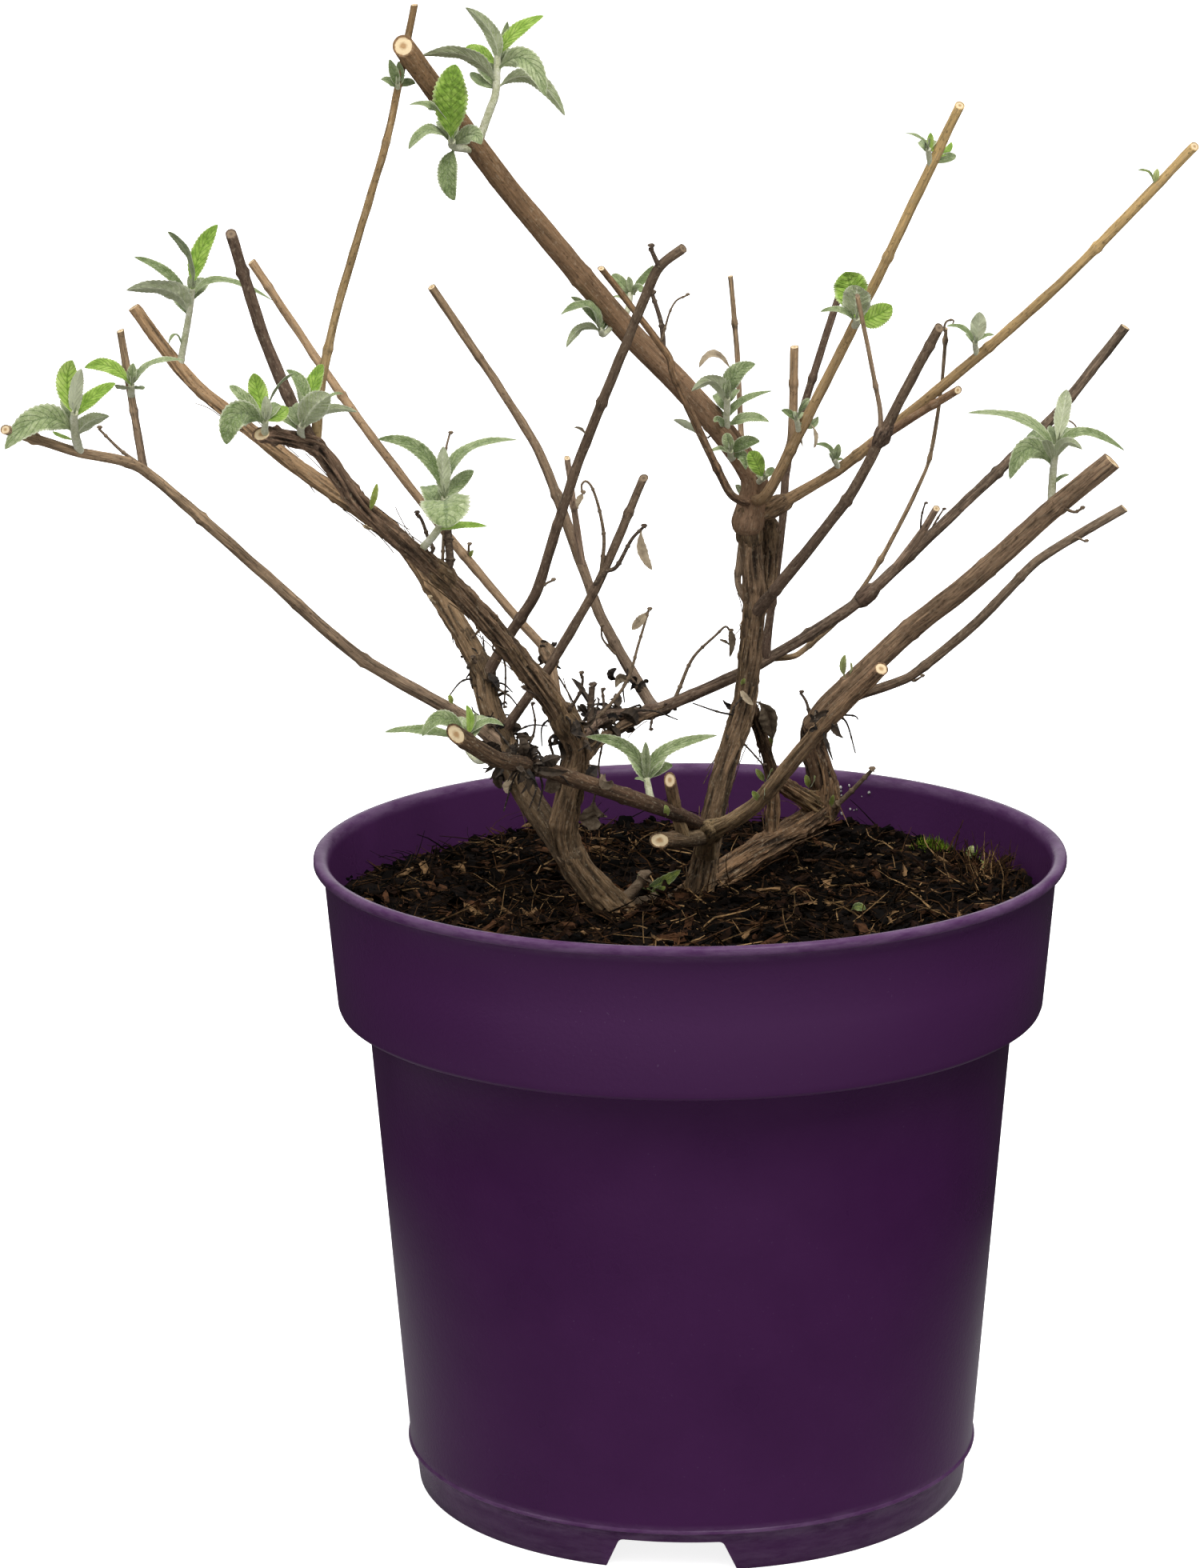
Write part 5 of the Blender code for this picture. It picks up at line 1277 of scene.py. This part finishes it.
# Where a knot sits: its limb, the share of it and its radius
KNOTS = (
    ("centre_stem", 0.97, 4.2),
    ("centre_twin", 0.82, 3.3),
    ("centre_stem", 1.00, 4.3),
    ("right_long_bough", 0.05, 3.4),
    ("top_bough", 0.03, 3.6),
    ("left_stem", 0.61, 3.9),
    ("left_back_bough", 0.27, 4.4),
    ("left_back_bough", 0.19, 4.6),
    ("left_thin_bough", 0.20, 2.9),
    ("left_stem", 0.32, 4.8),
    ("back_bough", 0.10, 2.6),
    ("back_bough", 0.20, 2.6),
    ("centre_stem", 0.78, 3.6),
    ("right_stem", 0.71, 4.8),
    ("right_dark_bough", 0.68, 2.7),
    ("back_bough", 0.52, 2.9),
    ("front_bough", 0.16, 4.0),
    ("right_thick_bough", 0.16, 3.6),
    ("left_back_bough", 0.32, 3.4),
)
STOUTER, TANGLE_FOOT, TANGLE_TIP = 1.35, 0.8, 0.4
STRIPS = {"left_stem": 40, "left_back_bough": 16, "centre_stem": 34, "centre_twin": 14,
          "right_stem": 22, "centre_prop": 10, "back_brace": 12, "right_stem_stub": 8}
CHIPS, STRAWS, CRUMBS, MOSS_BLADES, SPLASHES = 1500, 5200, 2600, 300, 60
MOSS = ((79, 62, 9, 4), (90, 52, 4, 3))  # a tuft's middle, and its half width and depth
STRAW_BANK = (18, 9)  # degrees round the wall where straws stand, and their spread
SPLASH_BANK, SPLASH_LEVEL = (66, 4), (191.5, 2.0)  # where white grains stick, and their spread
# shade numbers pick litter colours, the darkest most often; these darkest are painted shade for the
# soil's hollows
CHIP_LENGTHS, CHIP_SHADES = (2, 2.5, 3, 4, 5, 6, 9), (0, 0, 0, 0, 1, 1, 1, 2, 2, 3)
STRAW_LENGTHS = (3, 4, 5, 7, 9, 13, 18)
STRAW_SHADES, STANDING_SHADES = (0, 0, 0, 0, 1, 1, 1, 1, 2, 2, 3), (2, 2, 3)
CRUMB_SIZES, CRUMB_SHADES = (0.5, 0.7, 1.0, 1.5, 2.2), (0, 0, 0, 0, 1, 1, 2)
TWIG_TONES = {"b": (118, 100, 80), "d": (82, 68, 56), "p": (168, 150, 122)}
TANGLE_TONE = (44, 36, 30)
# The age of a small leaf's colour, by its second letter: dead, grey, black; live, fresh, pale
SPRIG_AGES = {"d": 0.85, "g": 0.6, "k": 0.05, "l": 0.6, "f": 0.0, "p": 1.1}
DEAD_KINDS = "dgk"
BAY = 106.0  # how far from the pot's axis bits may lie


class Bits:
    """Many small solids gathered into one mesh, each with one of the piece's finishes."""

    def __init__(self):
        self.points, self.faces, self.shades, self.count = [], [], [], 0

    def add(self, points, faces, shade=0):
        self.points.append(points)
        self.faces += [tuple(v + self.count for v in face) for face in faces]
        self.shades += [shade] * len(faces)
        self.count += len(points)

    def mesh(self, name, *finishes):
        return mesh_of(name, np.concatenate(self.points), self.faces, *finishes)

    def piece(self, name, slot, finishes, degrees=50):
        ob = self.mesh(name, *finishes)
        ob.data.polygons.foreach_set("material_index", np.array(self.shades, np.int32))
        smooth(ob, degrees)
        return settle(ob, slot)


def taken(ob):
    """The corners and faces of a small solid, which is then put away."""
    found = corners(ob), [tuple(face.vertices) for face in ob.data.polygons]
    bpy.data.objects.remove(ob)
    return found


def rod(sides, parts):
    """A rod, one long and two wide, in several parts so that it can bend."""
    start()
    bpy.ops.mesh.primitive_cylinder_add(vertices=sides, radius=1, depth=1, location=(0, 0, 0.5))
    ob = name_piece("rod")
    edit(ob)
    for k in range(1, parts):
        bpy.ops.mesh.select_all(action="SELECT")
        bpy.ops.mesh.bisect(plane_co=(0, 0, k / parts), plane_no=(0, 0, 1))
    bpy.ops.object.mode_set(mode="OBJECT")
    return taken(ob)


def lump():
    start()
    bpy.ops.mesh.primitive_ico_sphere_add(subdivisions=1, radius=1, location=(0, 0, 0))
    return taken(name_piece("lump"))


def flake():
    """A thin chip, one long, with two cuts across it."""
    start()
    bpy.ops.mesh.primitive_cube_add(size=1, location=(0, 0, 0))
    ob = name_piece("flake")
    edit(ob)
    bpy.ops.mesh.select_all(action="SELECT")
    for k in (-0.18, 0.16):
        bpy.ops.mesh.bisect(plane_co=(k, 0, 0), plane_no=(1, 0.2, 0))
        bpy.ops.mesh.select_all(action="SELECT")
    bpy.ops.object.mode_set(mode="OBJECT")
    return taken(ob)


def square_to(direction, rng):
    """Two directions square to one, turned at random about it."""
    any_way = Vector((rng.gauss(0, 1), rng.gauss(0, 1), rng.gauss(0, 1)))
    across = direction.cross(any_way).normalized()
    return across, direction.cross(across)


def bent_rod(shape, root, direction, length, thick, bow, rng, taper=0.6):
    """A rod's corners laid along a bow from its root."""
    points, faces = shape
    direction = direction.normalized()
    across, over = square_to(direction, rng)
    t = points[:, 2:]
    arch = 4 * t * (1 - t) * bow * length
    wave = np.sin(t * rng.uniform(4, 9)) * bow * length * 0.3
    wide = thick / 2 * (1 - taper * t)
    return laid_out(root, (direction, across, over), t * length, arch + points[:, :1] * wide,
                    wave + points[:, 1:2] * wide), faces


def laid_out(root, axes, *steps):
    """Places that lie some steps from a root along three directions."""
    return array(root) + sum(step * array(axis) for axis, step in zip(axes, steps))


def tossed(shape, place, size, rng, rough=0.25):
    """A small solid with its corners knocked about, turned at random and dropped in a place."""
    points, faces = shape
    points = points * size + np.array([[rng.uniform(-rough, rough) * s for s in size]
                                       for _ in points])
    turn = Matrix.Rotation(rng.uniform(0, 6.28), 3, "Z") @ Matrix.Rotation(
        rng.gauss(0, 0.35), 3, "X") @ Matrix.Rotation(rng.gauss(0, 0.35), 3, "Y")
    return points @ np.array(turn).T + array(place), faces


def on_soil(rng, reach=BAY, bunch=0.0):
    """A place on the soil's top; bits bunch in patches."""
    while True:
        angle, far = rng.uniform(0, 2 * math.pi), reach * math.sqrt(rng.random())
        x, y = far * math.cos(angle), far * math.sin(angle)
        heap = noise.noise(Vector((x / 22, y / 22, 4.2)))
        if rng.random() < 1 - bunch + bunch * (heap + 0.6):
            return Vector((x, y, soil_surface(x, y)))


def make_litter():
    """Bark chips, peat fibres and crumbs over the soil, and straws that stand by the wall."""
    rng = random.Random(SEED + 1)
    chip, straw, crumb = flake(), rod(3, 4), lump()
    chips, straws, crumbs, moss = Bits(), Bits(), Bits(), Bits()
    for _ in range(CHIPS):
        place = on_soil(rng, 103, 0.7)
        length = rng.choice(CHIP_LENGTHS) * rng.uniform(0.7, 1.3)
        if math.hypot(place.x, place.y) + length / 2 > BAY:
            continue
        place.z += rng.uniform(-0.4, 1.8)
        size = (length, length * rng.uniform(0.15, 0.4), rng.uniform(0.3, 1.1))
        chips.add(*tossed(chip, place, size, rng), rng.choice(CHIP_SHADES))
    for k in range(STRAWS):
        add_straw(straws, straw, k % 30 == 0, k % 60 != 0, rng)
    for _ in range(CRUMBS):
        place = on_soil(rng, 107, 0.3)
        size = rng.choice(CRUMB_SIZES) * rng.uniform(0.7, 1.3)
        place.z += rng.uniform(-0.3, 0.8)
        size = (size, size * rng.uniform(0.6, 1), size * rng.uniform(0.5, 0.9))
        crumbs.add(*tossed(crumb, place, size, rng, 0.3), rng.choice(CRUMB_SHADES))
    # grains of white scale dried on the wall behind the stems
    for _ in range(SPLASHES):
        angle, high = math.radians(rng.gauss(*SPLASH_BANK)), rng.gauss(*SPLASH_LEVEL)
        if high < 199:
            far = wall_inside(high) - 0.1
            spot = (far * math.cos(angle), far * math.sin(angle), high)
            size = rng.uniform(0.15, 0.5)
            crumbs.add(*tossed(crumb, spot, (size, size, size * 1.3), rng), 3)
    for x, y, wide, deep in MOSS:
        for _ in range(round(MOSS_BLADES * wide / 14)):
            spot = Vector((x + rng.gauss(0, 0.5) * wide, y + rng.gauss(0, 0.5) * deep, 0))
            spot.z = soil_surface(spot.x, spot.y) + 0.6
            way = Vector((rng.gauss(0, 0.35), rng.gauss(0, 0.35), 1))
            if math.hypot(spot.x, spot.y) < BAY - 2:
                moss.add(*bent_rod(straw, spot, way, rng.uniform(1.5, 3.8), rng.uniform(0.35, 0.6),
                                   rng.gauss(0, 0.12), rng, 0.85), rng.choice((0, 1, 1)))
    # besides the bits' own browns, the near-black shades are painted shade for the soil's black
    # hollows, and all the litter is darker for the shadow the soil lies in
    chips.piece("soil_chips", "soil", shades("bark_chip", 300, (10, 7, 5), (34, 22, 15),
                                             (66, 44, 29), (112, 87, 60)), 30)
    straws.piece("soil_straws", "soil", shades("peat_fibre", 400, (12, 8, 5), (36, 25, 15),
                                               (66, 46, 29), (126, 100, 68)))
    crumbs.piece("soil_crumbs", "soil", shades("peat_crumb", 500, (5, 4, 3), (15, 10, 7),
                                               (42, 29, 19), (190, 190, 184)))
    moss.piece("soil_moss", "leaf", shades("moss", 500, (52, 70, 16), (98, 118, 34)))


def add_straw(straws, shape, standing, by_wall, rng):
    """A fibre lying on the soil, or standing up from it, perhaps in the bank by the wall."""
    place = on_soil(rng, BAY, 0.5)
    if standing and by_wall:
        angle, far = math.radians(rng.gauss(*STRAW_BANK)), rng.uniform(90, 104)
        place = Vector((far * math.cos(angle), far * math.sin(angle), SOIL_TOP))
    heading = rng.uniform(0, 2 * math.pi)
    if standing:
        rise, length = rng.gauss(1.1, 0.25), rng.uniform(4, 11)
    else:
        rise, length = rng.gauss(0.1, 0.24), rng.choice(STRAW_LENGTHS) * rng.uniform(0.7, 1.2)
    way = Vector((math.cos(heading), math.sin(heading), math.tan(min(1.35, rise)))).normalized()
    end = place + way * length
    if math.hypot(end.x, end.y) > BAY or end.z > POT_HEIGHT + 4:
        return
    place.z += rng.uniform(-0.3, 1.6)
    straws.add(*bent_rod(shape, place, way, length, rng.uniform(0.25, 0.75), rng.gauss(0, 0.09),
                         rng), rng.choice(STANDING_SHADES if standing else STRAW_SHADES))


def make_twigs(routes, finishes):
    """Thin dead twigs, and the black tangle of stalks where the left stems fork."""
    rng = random.Random(SEED + 2)
    finish, twigs = finishes["dark"], []
    for limb, rows in TWIGS.items():
        for share, foot, tip, letter, *steps in rows:
            root, tone = point_at(routes[limb], share), tint(*TWIG_TONES[letter])
            route = smooth_route([root] + [root + Vector(step) for step in threes(steps)], 0.6)
            foot, tip = foot * STOUTER, tip * STOUTER
            twigs.append(thin_twig(route, foot, tip, tone, rng, finish))
            if tip > 0.35 and len(steps) > 3:
                end = route[-1]
                knot = smooth_route([end, end + Vector((0.4, 0, 0.5)),
                                     end + Vector((0.9, -0.2, 0.2))], 0.4)
                twigs.append(thin_twig(knot, foot * 1.3, tip * 1.2, tone, rng, finish))
    for limb, low, high, _, threads, reach in TANGLES:
        for _ in range(threads):
            root = point_at(routes[limb], rng.uniform(low, high))
            way = Vector((rng.gauss(0, 1), rng.gauss(0, 0.7), rng.gauss(0.1, 0.8))).normalized()
            bend = Vector((rng.gauss(0, 0.5), rng.gauss(0, 0.4), rng.gauss(-0.2, 0.5)))
            route = smooth_route([root, root + way * reach * 0.6,
                                  root + (way + bend * 0.5) * reach * 1.2,
                                  root + (way * 0.8 + bend * 1.4) * reach * 1.5], 0.7)
            twigs.append(thin_twig(route, TANGLE_FOOT, TANGLE_TIP, tint(*TANGLE_TONE), rng,
                                   finish))
    whole = join("dead_twigs", twigs)
    smooth(whole, 60)
    settle(whole, "dark_bark")


def thin_twig(route, foot, tip, tone, rng, finish):
    """A twig with a knot every few millimetres."""
    count = len(route)
    radii = [(foot + (tip - foot) * k / (count - 1)) / 2 for k in range(count)]
    every = rng.randint(9, 14)
    radii = [r * (1.45 if k % every == every - 1 else 1) for k, r in enumerate(radii)]
    ob = swept("twig", route, radii, 8, finish)
    plain_bark(ob, all_of(tone, ob.data.vertices))
    return ob


def make_sprigs(routes, finishes, template):
    """Small live and dead leaves, and shrivelled scraps."""
    rng = random.Random(SEED + 3)
    dead, live = Foliage(template), Foliage(template)
    for limb, rows in SPRIGS.items():
        for share, *steps, width, (facing, kind) in rows:
            base = point_at(routes[limb], share)
            places = [base + Vector(step) for step in threes(steps)]
            if kind in DEAD_KINDS:
                dead.add(*places, FACINGS[facing], width * 1.5, SPRIG_AGES[kind], rng, 0.7, 0.5,
                         2.0, 2.5, rng.uniform(-1.5, 1.5))
            else:
                live.add(*places, FACINGS[facing], width, SPRIG_AGES[kind], rng, 0.4, 0.5)
    for limb, low, high, scraps, _, reach in TANGLES:
        for _ in range(scraps):
            base = point_at(routes[limb], rng.uniform(low, high))
            way = Vector((rng.gauss(0, 1), rng.gauss(0, 0.7), rng.gauss(0.1, 0.9))).normalized()
            root = base + way * rng.uniform(0.5, reach * 0.6)
            length = rng.uniform(0.35, 1.0) * reach
            aside = Vector((rng.gauss(0, 0.7), rng.gauss(0, 0.7), rng.gauss(-0.3, 0.7)))
            dead.add(root, root + way * length * 0.5 + aside * length * 0.2,
                     root + way * length * 0.7 + aside * length * 0.7, way.cross(aside),
                     length * rng.uniform(0.3, 0.65), rng.uniform(0, 0.3), rng, 0.9, 0.5, 2.0, 3.0,
                     rng.uniform(-2.5, 2.5))
    settle(dead.piece("dead_leaves", finishes["dead"], finishes["dead"]), "leaf")
    settle(live.piece("small_sprigs", finishes["lime"], finishes["under"]), "leaf")


def make_buds(nubs, finishes):
    """Pointed bud scales at the knots, as brown as the bark."""
    rng = random.Random(SEED + 4)
    start()
    bpy.ops.mesh.primitive_cone_add(vertices=6, radius1=1, radius2=0.12, depth=1,
                                    location=(0, 0, 0.5))
    cone = name_piece("bud")
    apply_modifier(cone, "BEVEL", width=0.12, segments=1, limit_method="ANGLE")
    shape = taken(cone)
    gathered, tones = Bits(), []
    for place, out, size, tone in nubs:
        if rng.random() < 0.3:
            continue
        way = (out + Vector((0, 0, rng.uniform(0.3, 0.9)))).normalized()
        points, faces = bent_rod(shape, place - out * 0.25, way, size * rng.uniform(1.8, 3.2),
                                 size * rng.uniform(1.2, 1.7), 0.05, rng, 0.0)
        gathered.add(points, faces)
        tones.append(all_of(tone, points, 0.8))
    ob = gathered.mesh("buds", finishes["dark"])
    plain_bark(ob, np.concatenate(tones))
    smooth(ob, 50)
    settle(ob, "dark_bark")


def make_strips(routes, finishes):
    """Loose strips of old bark that lift away at one end."""
    rng = random.Random(SEED + 5)
    shape = rod(4, 8)
    gathered, tones = Bits(), []
    for limb, count in STRIPS.items():
        _, _, foot, tip, flare, _ = LIMBS[limb]
        route = routes[limb]
        radii = limb_radii(route, foot, tip, flare)
        for _ in range(count):
            at = rng.uniform(0.02, 0.9)
            step = min(len(route) - 2, int(at * (len(route) - 1)))
            axis = (route[step + 1] - route[step]).normalized() * rng.choice((-1, 1))
            across, over = square_to(axis, rng)
            length = min(rng.uniform(5, 16), length_of(route) * 0.2)
            root = route[step] + across * (radii[step] + 0.25)
            points, faces = shape
            t = points[:, 2:]
            lift = (rng.uniform(0.3, 1.6) * t ** 2 + 0.05) * min(1.5, radii[step])
            wide = rng.uniform(0.5, 1.3) * (1 - 0.75 * t) / 2
            aside = np.sin(t * rng.uniform(2, 5)) * 0.5
            follow = resample(route[max(0, step - 22):step + 23], 45)
            laid = laid_out(root, (axis, across, over), t * length, lift + points[:, :1] * 0.14,
                            aside + points[:, 1:2] * wide)
            middle = np.array([tuple(nearest_on(follow, Vector(p))) for p in laid])
            out = laid - middle
            far = np.linalg.norm(out, axis=1, keepdims=True)
            laid = middle + out / far * np.maximum(far, radii[step] * 0.9)
            gathered.add(laid, faces)
            tones.append(all_of(tones_of(limb)[0], laid, rng.uniform(0.6, 1.5)))
    ob = gathered.mesh("bark_strips", finishes["old"])
    plain_bark(ob, np.concatenate(tones), corners(ob)[:, [2, 0, 1]])
    smooth(ob, 60)
    settle(ob, "old_bark")

# Camera, light and floor

CAMERA_PLACE = (0.025, -1.460, 0.572)
LIT_SPOT = (0.02, 0, 0.22)  # what the lamps point at
PITCH, YAW, ROLL = 13.51, 1.07, -0.407  # degrees
LENS_SHARE = 6155 / 1960  # focal length over the picture's height
# Brightness of the room that lights the plant, from the front, the sides, behind and above
ROOM = (0.40, 0.06, 1.2, 1.5)
LAMPS = (((0.7, -1.3, 2.6), 1.1, 42), ((-1.9, -0.8, 1.5), 1.0, 9))  # place, size and power
FLOOR_BOUNCE = (0.5, 0.03, 0.55)  # near the pot, beside and behind it, and in front of it
FLOOR_GLOW = 0.92  # far from the pot, so that the floor runs on into the white behind it


def set_camera():
    pitch, yaw, roll = (math.radians(a) for a in (PITCH, YAW, ROLL))
    ahead = Vector((-math.sin(yaw) * math.cos(pitch), math.cos(yaw) * math.cos(pitch),
                    -math.sin(pitch)))
    right = Vector((math.cos(yaw), math.sin(yaw), 0))
    up = right.cross(ahead)
    across = right * math.cos(roll) + up * math.sin(roll)
    over = up * math.cos(roll) - right * math.sin(roll)
    bpy.ops.object.camera_add(location=CAMERA_PLACE)
    camera = bpy.context.object
    camera.rotation_euler = Matrix((across, over, -ahead)).transposed().to_euler()
    camera.data.sensor_width = 36
    camera.data.lens = 36 * LENS_SHARE
    camera.data.clip_end = 100
    bpy.context.scene.camera = camera


def show_white(tree, lighting, seen, end):
    """One shader for the light that reaches the plant, and another for the bare backdrop."""
    choice = add_node(tree, "MixShader")
    ray = add_node(tree, "LightPath").outputs["Is Camera Ray"]
    for socket, value in zip(choice.inputs, (ray, lighting.outputs[0], seen.outputs[0])):
        wire(tree, socket, value)
    wire(tree, tree.nodes[end].inputs[0], choice.outputs[0])


def set_light():
    """A white backdrop, a dim room in front, a soft key from above and a smaller lamp at the left.
    """
    scene = bpy.context.scene
    scene.view_settings.view_transform = "Standard"
    world = bpy.data.worlds.new("white_studio")
    scene.world = world
    world.use_nodes = True
    tree = world.node_tree
    seen = tree.nodes["Background"]
    seen.inputs[0].default_value = (1, 1, 1, 1)
    seen.inputs[1].default_value = 1.0
    split = add_node(tree, "SeparateXYZ", Vector=add_node(tree, "TexCoord").outputs["Generated"])
    front, side, behind, above = ROOM
    level = ramp(tree, reckon(tree, "MULTIPLY_ADD", split.outputs[1], 0.5, 0.5),
                 (0.0, front), (0.3, side), (0.965, side), (0.995, behind))
    fill = reckon(tree, "ADD", level, ramp(tree, split.outputs[2], (0.35, 0.0), (0.95, above)))
    lit = add_node(tree, "Background", Color=fill)
    show_white(tree, lit, seen, "World Output")
    for place, size, power in LAMPS:
        bpy.ops.object.light_add(type="AREA", location=place)
        lamp = bpy.context.object
        lamp.data.size = size
        lamp.data.energy = power
        towards = Vector(LIT_SPOT) - lamp.location
        lamp.rotation_euler = towards.to_track_quat("-Z", "Y").to_euler()


def make_floor():
    """White where the camera sees it, and duller where it only lights the pot from below."""
    start()
    bpy.ops.mesh.primitive_circle_add(vertices=64, radius=30, fill_type="NGON", location=(0, 0, 0))
    finish, tree, shader = new_finish("pale_floor")
    shader.inputs["Roughness"].default_value = 0.9
    shader.inputs["Specular IOR Level"].default_value = 0.1
    shader.inputs["Base Color"].default_value = (0.93, 0.93, 0.93, 1)
    shader.inputs["Emission Strength"].default_value = 1.0
    far = add_node(tree, "VectorMath", {"operation": "LENGTH"}, Vector=in_place(tree))
    tree.links.new(ramp(tree, far.outputs["Value"], (0.1, 0.85), (0.5, FLOOR_GLOW)),
                   shader.inputs["Emission Color"])
    near, beside, front = FLOOR_BOUNCE
    depth = add_node(tree, "SeparateXYZ", Vector=in_place(tree)).outputs[1]
    lit = reckon(tree, "MAXIMUM", ramp(tree, far.outputs["Value"], (0.13, near), (0.3, beside)),
                 ramp(tree, reckon(tree, "MULTIPLY", depth, -1.0), (0.15, 0.0), (0.4, front)))
    dull = add_node(tree, "BsdfDiffuse", Color=lit)
    show_white(tree, dull, shader, "Material Output")
    name_piece("floor", finish)


def main():
    finishes = {
        "old": bark("old_bark", 1.6, 0.0009, 0.88, 0.9),
        "dark": bark("dark_bark", 2.4, 0.0003, 0.85, 0.5),
        "tan": bark("tan_bark", 2.4, 0.0003, 0.75, 0.45),
        "cut": cut_wood("cut_wood", tint(112, 80, 52), tint(178, 142, 98), tint(226, 204, 164)),
        "old_cut": cut_wood("old_cut_wood", tint(60, 48, 38), tint(98, 80, 62), tint(130, 110, 86)),
        "felted": leaf_face("felted_leaf", tint(98, 118, 62), tint(142, 157, 106),
                            tint(178, 188, 144), tint(108, 126, 78), tint(206, 210, 180), 0.4),
        "bright": leaf_face("bright_leaf", tint(104, 142, 36), tint(150, 184, 74),
                            tint(184, 206, 112), tint(112, 146, 46), tint(192, 206, 142), 0.15),
        # the underside's own pale felt, set paler still as painted light, because undersides face
        # down into shade
        "under": leaf_face("pale_underside", tint(150, 162, 112), tint(180, 189, 146),
                           tint(206, 212, 176), tint(212, 217, 184), tint(220, 224, 196), 0.6),
        "lime": leaf_face("lime_leaf", tint(84, 102, 56), tint(158, 174, 62),
                          tint(200, 208, 140), tint(150, 166, 70), tint(206, 214, 160), 0.2),
        "dead": dead_leaf_face(),
        "woolly": woolly(),
    }
    make_pot(pot_plastic())
    make_soil(peat())
    routes, nubs = make_limbs(finishes)
    make_knots(routes, finishes["old"])
    make_strips(routes, finishes)
    make_buds(nubs, finishes)
    make_twigs(routes, finishes)
    make_shoots(routes, finishes, blade_template(BLADE_ROWS, BLADE_LANES))
    make_sprigs(routes, finishes, blade_template(SCRAP_ROWS, SCRAP_LANES))
    make_litter()
    make_floor()
    set_light()
    set_camera()
    start()


main()
